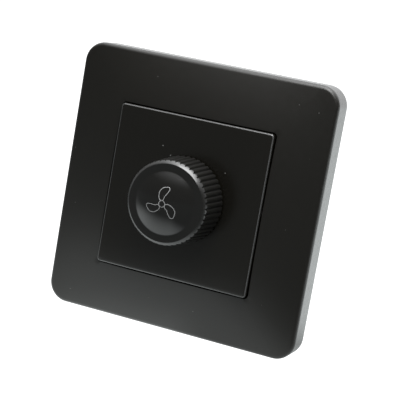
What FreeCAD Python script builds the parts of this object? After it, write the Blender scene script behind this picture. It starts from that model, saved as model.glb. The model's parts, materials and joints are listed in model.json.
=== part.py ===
import FreeCAD, Part
import math
import os
import re

import Sketcher

# Fan speed control switch for a square wall box, in millimetres.
# The origin is the centre of the plate on the wall: +X to the right, +Y into the wall, +Z up.
# A depth is measured from the wall towards the room, so a depth of 10 lies at Y = -10.
# A height on the circuit board is measured from its rear face towards the back of the housing.

SIZES = {
    # Frame plate
    "plate_side": 86.0,
    "plate_corner_radius": 6.5,
    "frame_wall": 2.0,
    "frame_edge_depth": 10.4,
    "frame_face_wall": 2.0,
    "frame_edge_fillet": 1.5,
    "crown_rise": 1.3,
    "crown_shoulder_inset": 6.0,
    "crown_shoulder_rise": 0.75,
    "crown_ledge": 0.4,
    "frame_lip_wall": 1.4,
    "frame_lip_height": 1.6,
    "nib_offset": 18.0,
    "nib_width": 8.0,
    "nib_engagement": 0.9,
    "nib_land": 0.6,
    "nib_slope": 2.0,
    "nib_clearance": 0.2,
    "pry_notch_width": 12.0,
    "pry_notch_depth": 1.4,
    # Insert panel
    "insert_side": 51.6,
    "insert_gap": 0.3,
    "insert_corner_radius": 1.0,
    "insert_front_depth": 12.6,
    "insert_wall": 2.0,
    "insert_skirt_wall": 1.6,
    "insert_edge_bevel": 0.4,
    # Mounting frame
    "mounting_gap": 2.0,
    "mounting_corner_radius": 4.0,
    "mounting_thickness": 2.4,
    "mounting_wall": 1.6,
    "mounting_wall_height": 4.6,
    "nib_window_depth": 3.4,
    "nib_window_height": 2.6,
    "collar_clearance": 0.3,
    "collar_wall": 1.6,
    "collar_height": 3.6,
    "collar_corner_radius": 2.5,
    "screw_spacing": 60.3,
    "screw_slot_width": 4.4,
    "screw_slot_length": 8.0,
    "boss_side": 5.2,
    "boss_height": 4.2,
    "boss_roof": 1.0,
    # Rear housing
    "housing_side": 47.6,
    "housing_corner_radius": 3.0,
    "housing_depth": 26.0,
    "housing_wall": 1.8,
    "housing_floor": 2.0,
    "ear_spacing_across": 28.0,
    "ear_spacing_up": 59.0,
    "ear_width": 8.4,
    "ear_margin": 3.8,
    "ear_corner_radius": 3.0,
    "ear_thickness": 2.6,
    "post_side": 5.2,
    "vent_count": 5,
    "vent_width": 1.8,
    "vent_end": 0.6,
    "vent_pitch": 4.2,
    "vent_start": 9.4,
    # Screws
    "screw_clearance": 0.05,
    "hole_clearance": 0.15,
    "housing_screw_radius": 1.45,
    "housing_screw_head_radius": 2.8,
    "housing_screw_head_height": 1.9,
    "housing_screw_length": 8.0,
    "board_screw_radius": 1.1,
    "board_screw_head_radius": 2.1,
    "board_screw_head_height": 1.5,
    "board_screw_length": 7.0,
    "triac_screw_radius": 1.5,
    "triac_screw_head_radius": 2.8,
    "triac_screw_head_height": 2.0,
    "triac_nut_across_flats": 5.5,
    "triac_nut_thickness": 2.4,
    "terminal_screw_radius": 1.75,
    "terminal_screw_head_radius": 2.9,
    "terminal_screw_head_height": 2.2,
    "terminal_screw_length": 4.2,
    "recess_width": 0.7,
    "recess_share": 0.6,
    "recess_reach_share": 0.62,
    # Knob
    "knob_base_radius": 13.75,
    "knob_top_radius": 13.2,
    "knob_base_clearance": 0.8,
    "knob_rim_depth": 26.4,
    "knob_bevel_height": 0.8,
    "knob_flat_radius": 12.32,
    "dome_radius": 9.45,
    "dome_rise": 2.6,
    "knob_wall": 1.7,
    "knob_roof": 2.0,
    "flute_count": 48,
    "flute_depth": 0.5,
    "flute_half_width": 0.55,
    "knob_boss_radius": 4.9,
    "knob_boss_slit": 1.0,
    "knob_boss_slit_length": 4.0,
    "knob_rib_count": 4,
    "knob_rib_wall": 1.2,
    "knob_rib_clearance": 1.4,
    "spring_ring_wall": 0.6,
    "spring_ring_height": 2.6,
    # Potentiometer
    "shaft_radius": 3.0,
    "shaft_tip_depth": 24.0,
    "shaft_rear_depth": 0.8,
    "shaft_flat_offset": 1.5,
    "shaft_fit": 0.05,
    "running_fit": 0.03,
    "clip_thickness": 0.5,
    "clip_groove": 0.6,
    "clip_radius": 4.4,
    "clip_opening": 3.6,
    "axial_play": 0.2,
    "bushing_radius": 4.0,
    "bushing_length": 5.4,
    "bushing_hole_clearance": 0.15,
    "washer_radius": 7.0,
    "washer_thickness": 0.6,
    "nut_across_flats": 12.0,
    "nut_thickness": 2.2,
    "pot_side": 20.0,
    "flange_thickness": 1.0,
    "track_thickness": 0.8,
    "track_bore_radius": 4.5,
    "tongue_width": 14.0,
    "tongue_reach": 15.6,
    "can_length": 7.0,
    "can_wall": 0.7,
    "can_clearance": 0.1,
    "can_hole_radius": 4.0,
    "wiper_radius": 8.0,
    "wiper_thickness": 1.4,
    "wiper_gap": 0.3,
    "wiper_arm_width": 2.4,
    "wiper_arm_rise": 0.5,
    "tag_pitch": 5.0,
    "tag_width": 1.4,
    "tag_thickness": 0.6,
    "tag_seat": 2.4,
    "switch_width": 20.0,
    "switch_height": 18.0,
    "switch_length": 8.2,
    "switch_bore_clearance": 0.4,
    "blade_spacing": 8.0,
    "blade_width": 2.4,
    # Circuit board and what stands on it
    "board_clearance": 0.3,
    "board_corner": 0.8,
    "board_front": 7.0,
    "board_thickness": 1.6,
    "heat_sink_width": 20.0,
    "heat_sink_length": 18.0,
    "heat_sink_low": 2.6,
    "heat_sink_base": 2.0,
    "heat_sink_fin": 1.5,
    "heat_sink_height": 10.4,
    "triac_width": 10.0,
    "triac_tab_length": 15.6,
    "triac_tab_thickness": 1.3,
    "triac_case_length": 9.2,
    "triac_case_height": 3.2,
    "triac_case_chamfer": 0.5,
    "triac_hole_inset": 2.9,
    "triac_low": 5.0,
    "triac_leg_pitch": 2.54,
    "triac_leg_width": 0.8,
    "triac_leg_thickness": 0.5,
    "triac_leg_reach": 3.2,
    "film_capacitor_across": -17.0,
    "film_capacitor_up": 0.0,
    "film_capacitor_width": 7.4,
    "film_capacitor_length": 18.0,
    "film_capacitor_height": 13.0,
    "timing_capacitor_across": -4.4,
    "timing_capacitor_up": -4.6,
    "timing_capacitor_width": 7.2,
    "timing_capacitor_length": 3.5,
    "timing_capacitor_height": 8.0,
    "boxed_edge": 0.6,
    "choke_across": 15.9,
    "choke_up": 4.6,
    "choke_core_radius": 2.4,
    "choke_end": 1.4,
    "choke_height": 13.0,
    "winding_radius": 4.5,
    "winding_clearance": 0.05,
    "fuse_across": 15.9,
    "fuse_up": -6.6,
    "fuse_width": 4.4,
    "fuse_length": 8.4,
    "fuse_height": 8.0,
    "resistor_across": 5.6,
    "resistor_up": -2.4,
    "resistor_pitch": 3.2,
    "resistor_count": 3,
    "resistor_radius": 1.2,
    "resistor_length": 6.3,
    "resistor_span": 10.2,
    "diac_across": -4.4,
    "diac_up": -8.8,
    "diac_radius": 0.9,
    "diac_length": 4.0,
    "diac_span": 7.6,
    "lead_side": 0.6,
    "axial_lift": 0.3,
    # Wire terminals
    "terminal_width": 24.0,
    "terminal_spacing": 12.0,
    "terminal_inner_reach": 11.0,
    "terminal_window_clearance": 0.3,
    "terminal_rear_clearance": 0.3,
    "terminal_well_up": -15.0,
    "terminal_well_side": 7.2,
    "terminal_floor": 1.6,
    "wire_bore_radius": 2.2,
    "wire_bore_height": 5.0,
    "clamp_clearance": 0.2,
    "clamp_height": 9.6,
    "access_hole_radius": 3.4,
}

# Derived places, written once and shared by every piece that meets there
KNOB_BASE = "(insert_front_depth + knob_base_clearance)"
KNOB_ROOF_DEPTH = "(knob_rim_depth - knob_roof)"
KNOB_INSIDE = "(knob_top_radius - knob_wall)"
FRAME_ROOF = "(frame_edge_depth - frame_face_wall)"
FRAME_OPENING = "(insert_side + 2 * insert_gap)"
FRAME_INSIDE = "(plate_side - 2 * frame_wall)"
CROWN_END = "(insert_side / 2 - insert_corner_radius)"
CROWN_SHOULDER = "(plate_side / 2 - crown_shoulder_inset - crown_ledge)"
MOUNTING_SIDE = f"({FRAME_INSIDE} - 2 * mounting_gap)"
INSERT_INSIDE = "(insert_side - 2 * insert_skirt_wall)"
COLLAR_OUTSIDE = f"({INSERT_INSIDE} - 2 * collar_clearance)"
MODULE_OPENING = f"({COLLAR_OUTSIDE} - 2 * collar_wall)"
HOUSING_INSIDE = "(housing_side - 2 * housing_wall)"
HOUSING_REAR = "(housing_depth - housing_floor)"
PANEL_BACK = "(insert_front_depth - insert_wall)"
CLIP_SEAT = f"({PANEL_BACK} + bushing_length + axial_play)"
KNOB_BOSS_END = f"({CLIP_SEAT} + clip_thickness + axial_play)"
FLANGE_BACK = f"({PANEL_BACK} - flange_thickness)"
TRACK_BACK = f"({FLANGE_BACK} - track_thickness)"
CAN_BACK = f"({FLANGE_BACK} - can_length)"
SWITCH_BACK = f"({CAN_BACK} - switch_length)"
BOARD_REAR = "(board_front + board_thickness)"
BOARD_SIDE = f"({HOUSING_INSIDE} - 2 * board_clearance)"
POST_OFFSET = f"(({HOUSING_INSIDE} - post_side) / 2)"
SINK_REAR = f"({BOARD_REAR} + heat_sink_base)"
TAB_REAR = f"({SINK_REAR} + triac_tab_thickness)"
TRIAC_HOLE_UP = "(triac_low + triac_tab_length - triac_hole_inset)"
TERMINAL_REAR = f"({HOUSING_REAR} - terminal_rear_clearance)"
WELL_FLOOR = f"({BOARD_REAR} + terminal_floor)"
CLAMP_SIDE = "(terminal_well_side - 2 * clamp_clearance)"
SIGNS = (1, -1)
PICKING = 0.01

doc = FreeCAD.newDocument("fan_speed_switch")
sheet = doc.addObject("Spreadsheet::Sheet", "Sizes")
nodes = []


def fill_sheet():
    """Put every driving size into the sheet, under its own alias."""
    for row, (alias, size) in enumerate(SIZES.items(), start=1):
        sheet.set(f"A{row}", alias.replace("_", " "))
        sheet.set(f"B{row}", str(size))
        sheet.setAlias(f"B{row}", alias)
    doc.recompute()


def bind(formula):
    """The formula with each size's name pointing at its cell."""
    return re.sub(r"[a-z_]+", lambda word: f"Sizes.{word[0]}" if word[0] in SIZES else word[0], formula)


def value(formula):
    """The formula's present value."""
    return float(sheet.evalExpression(bind(formula)))


def new_body(name):
    """An empty body that becomes the node of this name."""
    body = doc.addObject("PartDesign::Body", name)
    body.Label = name
    return body


def origin_feature(body, role):
    """One of the body's own origin planes or axes."""
    return next(item for item in body.Origin.OriginFeatures if item.Role == role)


def sketch_on(body, role, offset="0"):
    """An empty sketch on an origin plane of the body, moved along the plane's normal."""
    sketch = body.newObject("Sketcher::SketchObject", f"{body.Name}_sketch")
    sketch.AttachmentSupport = [(origin_feature(body, role), "")]
    sketch.MapMode = "FlatFace"
    sketch.setExpression("AttachmentOffset.Base.z", bind(offset))
    return sketch


def wall_sketch(body, depth):
    """A sketch parallel to the wall: X and Z in the sketch, its normal towards the room."""
    return sketch_on(body, "XZ_Plane", depth)


def drive(sketch, kind, *members, formula):
    """A dimension of the sketch that follows a formula."""
    index = sketch.addConstraint(Sketcher.Constraint(kind, *members, value(formula)))
    sketch.setExpression(f"Constraints[{index}]", bind(formula))


def pin_point(sketch, member, point, across, up):
    """Hold a point of the sketch at a place measured from its origin."""
    drive(sketch, "DistanceX", -1, 1, member, point, formula=across)
    drive(sketch, "DistanceY", -1, 1, member, point, formula=up)


def join(sketch, first, second):
    """Make the end of one member the start of the next."""
    sketch.addConstraint(Sketcher.Constraint("Coincident", first, 2, second, 1))


def outline(sketch, corners):
    """A closed outline of straight lines through corners given as formulas."""
    points = [FreeCAD.Vector(value(across), value(up), 0) for across, up in corners]
    first = sketch.GeometryCount
    count = len(points)
    for index in range(count):
        sketch.addGeometry(Part.LineSegment(points[index], points[(index + 1) % count]), False)
    for index in range(count):
        join(sketch, first + index, first + (index + 1) % count)
    for index, (across, up) in enumerate(corners):
        pin_point(sketch, first + index, 1, across, up)


def rectangle(sketch, width, height, across="0", up="0"):
    """A rectangle about a centre."""
    low_across = f"{across} - ({width}) / 2"
    high_across = f"{across} + ({width}) / 2"
    low_up = f"{up} - ({height}) / 2"
    high_up = f"{up} + ({height}) / 2"
    corners = ((low_across, low_up), (high_across, low_up), (high_across, high_up), (low_across, high_up))
    outline(sketch, corners)


def circle(sketch, radius, across="0", up="0"):
    """A circle about a centre."""
    centre = FreeCAD.Vector(value(across), value(up), 0)
    member = sketch.addGeometry(Part.Circle(centre, FreeCAD.Vector(0, 0, 1), value(radius)), False)
    pin_point(sketch, member, 3, across, up)
    drive(sketch, "Radius", member, formula=radius)


def arc_member(sketch, centre, radius, start, end):
    """A counter-clockwise arc between two angles in degrees."""
    round_edge = Part.Circle(FreeCAD.Vector(*centre, 0), FreeCAD.Vector(0, 0, 1), radius)
    return sketch.addGeometry(Part.ArcOfCircle(round_edge, math.radians(start), math.radians(end)), False)


def rounded_rectangle(sketch, width, height, radius, across="0", up="0"):
    """A rectangle with round corners: four arcs, held at their centres, and four tangent lines."""
    reach_across = f"(({width}) / 2 - ({radius}))"
    reach_up = f"(({height}) / 2 - ({radius}))"
    places = ((1, 1, 0), (-1, 1, 90), (-1, -1, 180), (1, -1, 270))
    arcs = []
    for side, level, start in places:
        centre = (f"{across} + {side} * {reach_across}", f"{up} + {level} * {reach_up}")
        middle = [value(formula) for formula in centre]
        arc = arc_member(sketch, middle, value(radius), start, start + 90)
        pin_point(sketch, arc, 3, *centre)
        drive(sketch, "Radius", arc, formula=radius)
        arcs.append(arc)
    for first, second in zip(arcs, arcs[1:] + arcs[:1]):
        start = sketch.getPoint(first, 2)
        end = sketch.getPoint(second, 1)
        line = sketch.addGeometry(Part.LineSegment(start, end), False)
        sketch.addConstraint(Sketcher.Constraint("Tangent", first, 2, line, 1))
        sketch.addConstraint(Sketcher.Constraint("Tangent", line, 2, second, 1))


def slot(sketch, length, width, across="0", up="0"):
    """A slot with round ends that runs along the sketch's first axis."""
    reach = f"(({length}) - ({width})) / 2"
    arcs = []
    for side, start in ((1, -90), (-1, 90)):
        centre = (f"{across} + {side} * {reach}", up)
        middle = [value(formula) for formula in centre]
        arc = arc_member(sketch, middle, value(f"({width}) / 2"), start, start + 180)
        pin_point(sketch, arc, 3, *centre)
        drive(sketch, "Radius", arc, formula=f"({width}) / 2")
        arcs.append(arc)
    for first, second in (arcs, arcs[::-1]):
        start = sketch.getPoint(first, 2)
        end = sketch.getPoint(second, 1)
        line = sketch.addGeometry(Part.LineSegment(start, end), False)
        sketch.addConstraint(Sketcher.Constraint("Tangent", first, 2, line, 1))
        sketch.addConstraint(Sketcher.Constraint("Tangent", line, 2, second, 1))


def hexagon(sketch, across_flats):
    """A hexagon about the sketch's origin with two flats level."""
    corner = f"(({across_flats}) / sqrt(3))"
    half = f"(({across_flats}) / 2)"
    level = ((f"{corner} / 2", half), (f"-{corner} / 2", half))
    below = ((f"-{corner} / 2", f"-{half}"), (f"{corner} / 2", f"-{half}"))
    outline(sketch, ((corner, "0"), *level, (f"-{corner}", "0"), *below))


def d_outline(sketch, radius, flat):
    """A circle cut off by a flat at a distance from its centre."""
    rise = f"sqrt(({radius}) ^ 2 - ({flat}) ^ 2)"
    top = FreeCAD.Vector(value(flat), value(rise), 0)
    bottom = FreeCAD.Vector(value(flat), -value(rise), 0)
    back = FreeCAD.Vector(-value(radius), 0, 0)
    arc = sketch.addGeometry(Part.Arc(top, back, bottom), False)
    chord = sketch.addGeometry(Part.LineSegment(bottom, top), False)
    join(sketch, arc, chord)
    join(sketch, chord, arc)
    pin_point(sketch, arc, 3, "0", "0")
    pin_point(sketch, arc, 1, flat, rise)
    drive(sketch, "DistanceX", -1, 1, arc, 2, formula=flat)


def extrude(body, kind, sketch, length, turned):
    """A pad or a pocket from the sketch; turned takes it the other way along the normal."""
    feature = body.newObject(f"PartDesign::{kind}", f"{body.Name}_{kind.lower()}")
    feature.Profile = sketch
    feature.Reversed = turned
    feature.setExpression("Length", bind(length))
    doc.recompute()
    return feature


def pad(body, sketch, length, turned=False):
    """Add the sketch's area along its normal, or against it when turned."""
    return extrude(body, "Pad", sketch, length, turned)


def pocket(body, sketch, length, turned=False):
    """Cut the sketch's area against its normal, or along it when turned."""
    before = body.Shape.Volume
    feature = extrude(body, "Pocket", sketch, length, turned)
    if body.Shape.Volume >= before:
        raise ValueError(f"{feature.Name} cuts nothing from {body.Label}")
    return feature


def revolve(body, sketch, axis="V_Axis"):
    """Turn the sketch a full circle about one of its axes."""
    feature = body.newObject("PartDesign::Revolution", f"{body.Name}_revolution")
    feature.Profile = sketch
    feature.ReferenceAxis = (sketch, [axis])
    feature.Angle = 360
    doc.recompute()
    return feature


def turned_profile(body, corners):
    """Revolve straight-sided outline corners, given as radius and depth, about the knob's axis."""
    sketch = sketch_on(body, "XY_Plane")
    outline(sketch, [(radius, f"-({depth})") for radius, depth in corners])
    return revolve(body, sketch)


def loft(body, kind, sketches, ruled=False):
    """Loft through the sketches in order, adding or cutting."""
    feature = body.newObject(f"PartDesign::{kind}", f"{body.Name}_loft")
    feature.Profile = sketches[0]
    feature.Sections = sketches[1:]
    feature.Ruled = ruled
    doc.recompute()
    return feature


def polar(body, feature, count):
    """Repeat a feature evenly about the knob's axis."""
    pattern = body.newObject("PartDesign::PolarPattern", f"{body.Name}_pattern")
    pattern.Originals = [feature]
    pattern.Axis = (origin_feature(body, "Y_Axis"), [""])
    pattern.Angle = 360
    pattern.setExpression("Occurrences", bind(count))
    body.Tip = pattern
    doc.recompute()
    return pattern


def soften(body, kind, size, wanted):
    """Fillet or chamfer the edges of the body that a test picks out."""
    base = body.Tip
    names = [f"Edge{n}" for n, edge in enumerate(base.Shape.Edges, start=1) if wanted(edge.BoundBox)]
    feature = body.newObject(f"PartDesign::{kind}", f"{body.Name}_{kind.lower()}")
    feature.Base = (base, names)
    feature.setExpression("Radius" if kind == "Fillet" else "Size", bind(size))
    doc.recompute()
    return feature


def edges_between(low, high, reach="0"):
    """Picks edges that lie between two depths and reach at least so far from the axis."""
    front = -value(high) - PICKING
    back = -value(low) + PICKING
    far = value(reach) - PICKING

    def wanted(box):
        spread = max(abs(box.XMin), abs(box.XMax), abs(box.ZMin), abs(box.ZMax))
        return box.YMin > front and box.YMax < back and spread > far

    return wanted


def place(item, across="0", inward="0", up="0", turn=None):
    """Move an object to a place given as formulas, turned first if asked."""
    if turn is not None:
        item.Placement = FreeCAD.Placement(FreeCAD.Vector(0, 0, 0), turn)
    for axis, formula in (("x", across), ("y", inward), ("z", up)):
        item.setExpression(f"Placement.Base.{axis}", bind(formula))


def keep(item):
    """Count the object as a finished node."""
    nodes.append(item)
    return item


def group(name, pattern, places, turn=None):
    """One node of like pieces: a linked copy of the pattern at each place."""
    copies = []
    for spot in places:
        copy = doc.addObject("App::Link", f"{name}_copy")
        copy.LinkedObject = pattern
        place(copy, *spot, turn=turn)
        copies.append(copy)
    node = doc.addObject("Part::Compound", name)
    node.Label = name
    node.Links = copies
    doc.recompute()
    return keep(node)


def frame_plate():
    """The outer frame: a crowned square moulding, hollow behind, with nibs that catch the mounting frame."""
    body = new_body("frame_plate")
    base = wall_sketch(body, "0")
    rounded_rectangle(base, "plate_side", "plate_side", "plate_corner_radius")
    pad(body, base, "frame_edge_depth + crown_shoulder_rise")
    crown_frame(body)
    cavity = wall_sketch(body, "0")
    rounded_rectangle(cavity, FRAME_INSIDE, FRAME_INSIDE, "plate_corner_radius - frame_wall")
    pocket(body, cavity, FRAME_ROOF, turned=True)
    lip = wall_sketch(body, FRAME_ROOF)
    lip_side = f"{FRAME_OPENING} + 2 * frame_lip_wall"
    rounded_rectangle(lip, lip_side, lip_side, "insert_corner_radius + insert_gap + frame_lip_wall")
    pad(body, lip, "frame_lip_height", turned=True)
    opening = wall_sketch(body, "0")
    rounded_rectangle(opening, FRAME_OPENING, FRAME_OPENING, "insert_corner_radius + insert_gap")
    pocket(body, opening, "frame_edge_depth + 2 * crown_rise", turned=True)
    for side in SIGNS:
        for level in SIGNS:
            frame_nib(body, side, level)
    notch = wall_sketch(body, "0")
    rectangle(notch, "pry_notch_width", "4 * frame_wall", up="-plate_side / 2")
    pocket(body, notch, "pry_notch_depth", turned=True)
    return keep(body)


def crown_frame(body):
    """The crown of the frame's front: an outer slope with a rounded edge, then a flatter inner slope."""
    front = "(frame_edge_depth + crown_shoulder_rise)"
    slope = soften(body, "Chamfer", "crown_shoulder_inset", edges_between(front, front))
    slope.ChamferType = "Two distances"
    slope.FlipDirection = True
    slope.setExpression("Size2", bind("crown_shoulder_rise"))
    doc.recompute()
    outer = edges_between("frame_edge_depth", "frame_edge_depth", "plate_side / 2 - plate_corner_radius")
    soften(body, "Fillet", "frame_edge_fillet", outer)
    raised = wall_sketch(body, front)
    rectangle(raised, f"2 * {CROWN_SHOULDER}", f"2 * {CROWN_SHOULDER}")
    pad(body, raised, "crown_rise - crown_shoulder_rise")
    across_cut = sketch_on(body, "XY_Plane", "plate_side")
    up_cut = sketch_on(body, "YZ_Plane", "plate_side")
    for side in SIGNS:
        wedge = crown_wedge(side, front)
        outline(across_cut, wedge)
        outline(up_cut, [(level, reach) for reach, level in wedge])
    pocket(body, across_cut, "2 * plate_side")
    pocket(body, up_cut, "2 * plate_side")


def crown_wedge(side, front):
    """What the inner slope takes off one side of the raised front, as reach and level."""
    top = "-(frame_edge_depth + crown_rise)"
    above = "-(frame_edge_depth + 2 * crown_rise)"
    return (
        (f"{side} * {CROWN_END}", top),
        (f"{side} * {CROWN_END}", above),
        (f"{side} * ({CROWN_SHOULDER} + crown_ledge)", above),
        (f"{side} * ({CROWN_SHOULDER} + crown_ledge)", f"-{front}"),
        (f"{side} * {CROWN_SHOULDER}", f"-{front}"),
    )


def frame_nib(body, side, level):
    """A wedge on the skirt that snaps into a window of the mounting frame's wall."""
    sketch = sketch_on(body, "XY_Plane", f"{level} * nib_offset - nib_width / 2")
    root = f"{side} * (plate_side / 2 - frame_wall / 2)"
    tip = f"{side} * ({MOUNTING_SIDE} / 2 - nib_engagement)"
    catch = "(nib_window_depth + nib_window_height - nib_clearance)"
    corners = (
        (root, f"-{catch}"),
        (tip, f"-{catch}"),
        (tip, f"-({catch} - nib_land)"),
        (root, f"-({catch} - nib_land - nib_slope)"),
    )
    outline(sketch, corners)
    pad(body, sketch, "nib_width")


def insert_panel():
    """The square panel in the frame: a tray that stands on the mounting frame and carries the bushing."""
    body = new_body("insert_panel")
    front = wall_sketch(body, "mounting_thickness")
    rounded_rectangle(front, "insert_side", "insert_side", "insert_corner_radius")
    pad(body, front, "insert_front_depth - mounting_thickness")
    soften(body, "Chamfer", "insert_edge_bevel", edges_between("insert_front_depth", "insert_front_depth"))
    inside = wall_sketch(body, "mounting_thickness")
    rectangle(inside, INSERT_INSIDE, INSERT_INSIDE)
    pocket(body, inside, f"{PANEL_BACK} - mounting_thickness", turned=True)
    hole = wall_sketch(body, "mounting_thickness")
    circle(hole, "bushing_radius + bushing_hole_clearance")
    pocket(body, hole, "insert_front_depth", turned=True)
    return keep(body)


def mounting_frame():
    """The carrier on the wall box: a plate with a rim, a collar for the insert, screw slots and bosses."""
    body = new_body("mounting_frame")
    plate = wall_sketch(body, "0")
    rounded_rectangle(plate, MOUNTING_SIDE, MOUNTING_SIDE, "mounting_corner_radius")
    pad(body, plate, "mounting_thickness")
    rim = wall_sketch(body, "mounting_thickness")
    inner = f"{MOUNTING_SIDE} - 2 * mounting_wall"
    rounded_rectangle(rim, MOUNTING_SIDE, MOUNTING_SIDE, "mounting_corner_radius")
    rounded_rectangle(rim, inner, inner, "mounting_corner_radius - mounting_wall")
    pad(body, rim, "mounting_wall_height")
    collar = wall_sketch(body, "mounting_thickness")
    rounded_rectangle(collar, COLLAR_OUTSIDE, COLLAR_OUTSIDE, "collar_corner_radius")
    pad(body, collar, "collar_height")
    opening = wall_sketch(body, "0")
    opening_radius = "collar_corner_radius - collar_wall"
    rounded_rectangle(opening, MODULE_OPENING, MODULE_OPENING, opening_radius)
    pocket(body, opening, "mounting_thickness + 2 * collar_height", turned=True)
    bosses = wall_sketch(body, "mounting_thickness")
    pilots = wall_sketch(body, "0")
    for across, up in ear_places():
        rectangle(bosses, "boss_side", "boss_side", across, up)
        circle(pilots, "housing_screw_radius + screw_clearance", across, up)
    pad(body, bosses, "boss_height")
    pocket(body, pilots, "mounting_thickness + boss_height - boss_roof", turned=True)
    slots = wall_sketch(body, "0")
    for side in SIGNS:
        slot(slots, "screw_slot_length", "screw_slot_width", f"{side} * screw_spacing / 2")
    pocket(body, slots, "2 * mounting_thickness", turned=True)
    for side in SIGNS:
        nib_windows(body, side)
    return keep(body)


def nib_windows(body, side):
    """The two windows in one side of the mounting frame's rim, which the frame's nibs snap into."""
    sketch = sketch_on(body, "YZ_Plane", f"{side} * ({MOUNTING_SIDE} / 2 + mounting_wall)")
    for level in SIGNS:
        middle = "-(nib_window_depth + nib_window_height / 2)"
        width = "nib_width + 4 * nib_clearance"
        rectangle(sketch, "nib_window_height", width, middle, f"{level} * nib_offset")
    pocket(body, sketch, "3 * mounting_wall", turned=side < 0)


def ear_places():
    """Where the housing's four ears are screwed to the mounting frame."""
    return [
        (f"{side} * ear_spacing_across / 2", f"{level} * ear_spacing_up / 2")
        for side in SIGNS
        for level in SIGNS
    ]


def rear_housing():
    """The tub behind the mounting frame, with ears, board posts, vents and the terminal's openings."""
    body = new_body("rear_housing")
    tub = wall_sketch(body, "0")
    rounded_rectangle(tub, "housing_side", "housing_side", "housing_corner_radius")
    pad(body, tub, "housing_depth", turned=True)
    ears = wall_sketch(body, "0")
    reach = "(ear_spacing_up / 2 + ear_margin)"
    for side in SIGNS:
        across = f"{side} * ear_spacing_across / 2"
        rounded_rectangle(ears, "ear_width", f"2 * {reach}", "ear_corner_radius", across)
    pad(body, ears, "ear_thickness", turned=True)
    inside = wall_sketch(body, "0")
    rounded_rectangle(inside, HOUSING_INSIDE, HOUSING_INSIDE, "housing_corner_radius - housing_wall")
    pocket(body, inside, HOUSING_REAR)
    holes = wall_sketch(body, "0")
    for across, up in ear_places():
        circle(holes, "housing_screw_radius + hole_clearance", across, up)
    pocket(body, holes, "2 * ear_thickness")
    board_posts(body)
    housing_vents(body)
    terminal_openings(body)
    return keep(body)


def board_posts(body):
    """Four posts in the tub's corners that carry the board, two of them drilled for its screws."""
    posts = wall_sketch(body, f"-{HOUSING_REAR}")
    for side in SIGNS:
        for level in SIGNS:
            rectangle(posts, "post_side", "post_side", f"{side} * {POST_OFFSET}", f"{level} * {POST_OFFSET}")
    pad(body, posts, f"{HOUSING_REAR} - {BOARD_REAR}")
    drilled = wall_sketch(body, f"-{BOARD_REAR}")
    for side in SIGNS:
        offset = f"{side} * {POST_OFFSET}"
        circle(drilled, "board_screw_radius + screw_clearance", offset, offset)
    pocket(body, drilled, "board_screw_length")


def housing_vents(body):
    """A row of slots through both side walls, level with the space behind the board."""
    sketch = sketch_on(body, "YZ_Plane", "housing_side")
    length = f"({HOUSING_REAR} - vent_start - vent_end)"
    for index in range(int(value("vent_count"))):
        up = f"({index} - (vent_count - 1) / 2) * vent_pitch"
        rectangle(sketch, length, "vent_width", f"vent_start + {length} / 2", up)
    pocket(body, sketch, "2 * housing_side")


def terminal_openings(body):
    """The window in the lower wall for the terminal block, and the holes over its screws."""
    window = sketch_on(body, "XY_Plane", "-housing_side")
    width = "terminal_width + 2 * terminal_window_clearance"
    height = f"{HOUSING_REAR} - {BOARD_REAR} + terminal_window_clearance"
    rectangle(window, width, height, "0", f"({HOUSING_REAR} + {BOARD_REAR} - terminal_window_clearance) / 2")
    pocket(body, window, "housing_side / 2 + housing_wall + terminal_window_clearance", turned=True)
    holes = wall_sketch(body, "-housing_depth")
    for side in SIGNS:
        circle(holes, "access_hole_radius", f"{side} * terminal_spacing / 2", "terminal_well_up")
    pocket(body, holes, "housing_floor", turned=True)


def cheese_screw(name, size, length):
    """A screw with a cross recess in a cheese head: seat at the origin, head inward, shank to the room."""
    body = new_body(name)
    head = f"{size}_head_radius"
    height = f"{size}_head_height"
    thread = f"{size}_radius"
    corners = (
        ("0", f"-{height}"),
        (head, f"-{height}"),
        (head, "0"),
        (thread, "0"),
        (thread, length),
        ("0", length),
    )
    turned_profile(body, corners)
    recess = wall_sketch(body, f"-{height}")
    reach = f"recess_reach_share * {head}"
    half = "recess_width / 2"
    arms = []
    for across, up in ((1, 1), (-1, 1), (-1, -1), (1, -1)):
        long_first = (f"{across} * {reach}", f"{up} * {half}")
        inner = (f"{across} * {half}", f"{up} * {half}")
        long_last = (f"{across} * {half}", f"{up} * {reach}")
        arms += [long_first, inner, long_last] if across * up > 0 else [long_last, inner, long_first]
    outline(recess, arms)
    pocket(body, recess, f"recess_share * {height}", turned=True)
    return body


def screw_sets():
    """The screws of the housing, the board, the power switch and the two wire clamps."""
    housing = cheese_screw("housing_screw", "housing_screw", "housing_screw_length")
    group("housing_screws", housing, [(across, "ear_thickness", up) for across, up in ear_places()])
    board = cheese_screw("board_screw", "board_screw", "board_screw_length")
    corners = [(f"{side} * {POST_OFFSET}", "board_front", f"{side} * {POST_OFFSET}") for side in SIGNS]
    group("board_screws", board, corners, FreeCAD.Rotation(FreeCAD.Vector(0, 0, 1), 180))
    reach = f"{TAB_REAR} - board_front + triac_nut_thickness + axial_play"
    triac = cheese_screw("triac_screw", "triac_screw", f"({reach})")
    place(triac, "0", TAB_REAR, TRIAC_HOLE_UP)
    keep(triac)
    terminal = cheese_screw("terminal_screw", "terminal_screw", "terminal_screw_length")
    spots = [
        (f"{side} * terminal_spacing / 2", f"{WELL_FLOOR} + clamp_height", "terminal_well_up")
        for side in SIGNS
    ]
    group("terminal_screws", terminal, spots)


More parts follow.
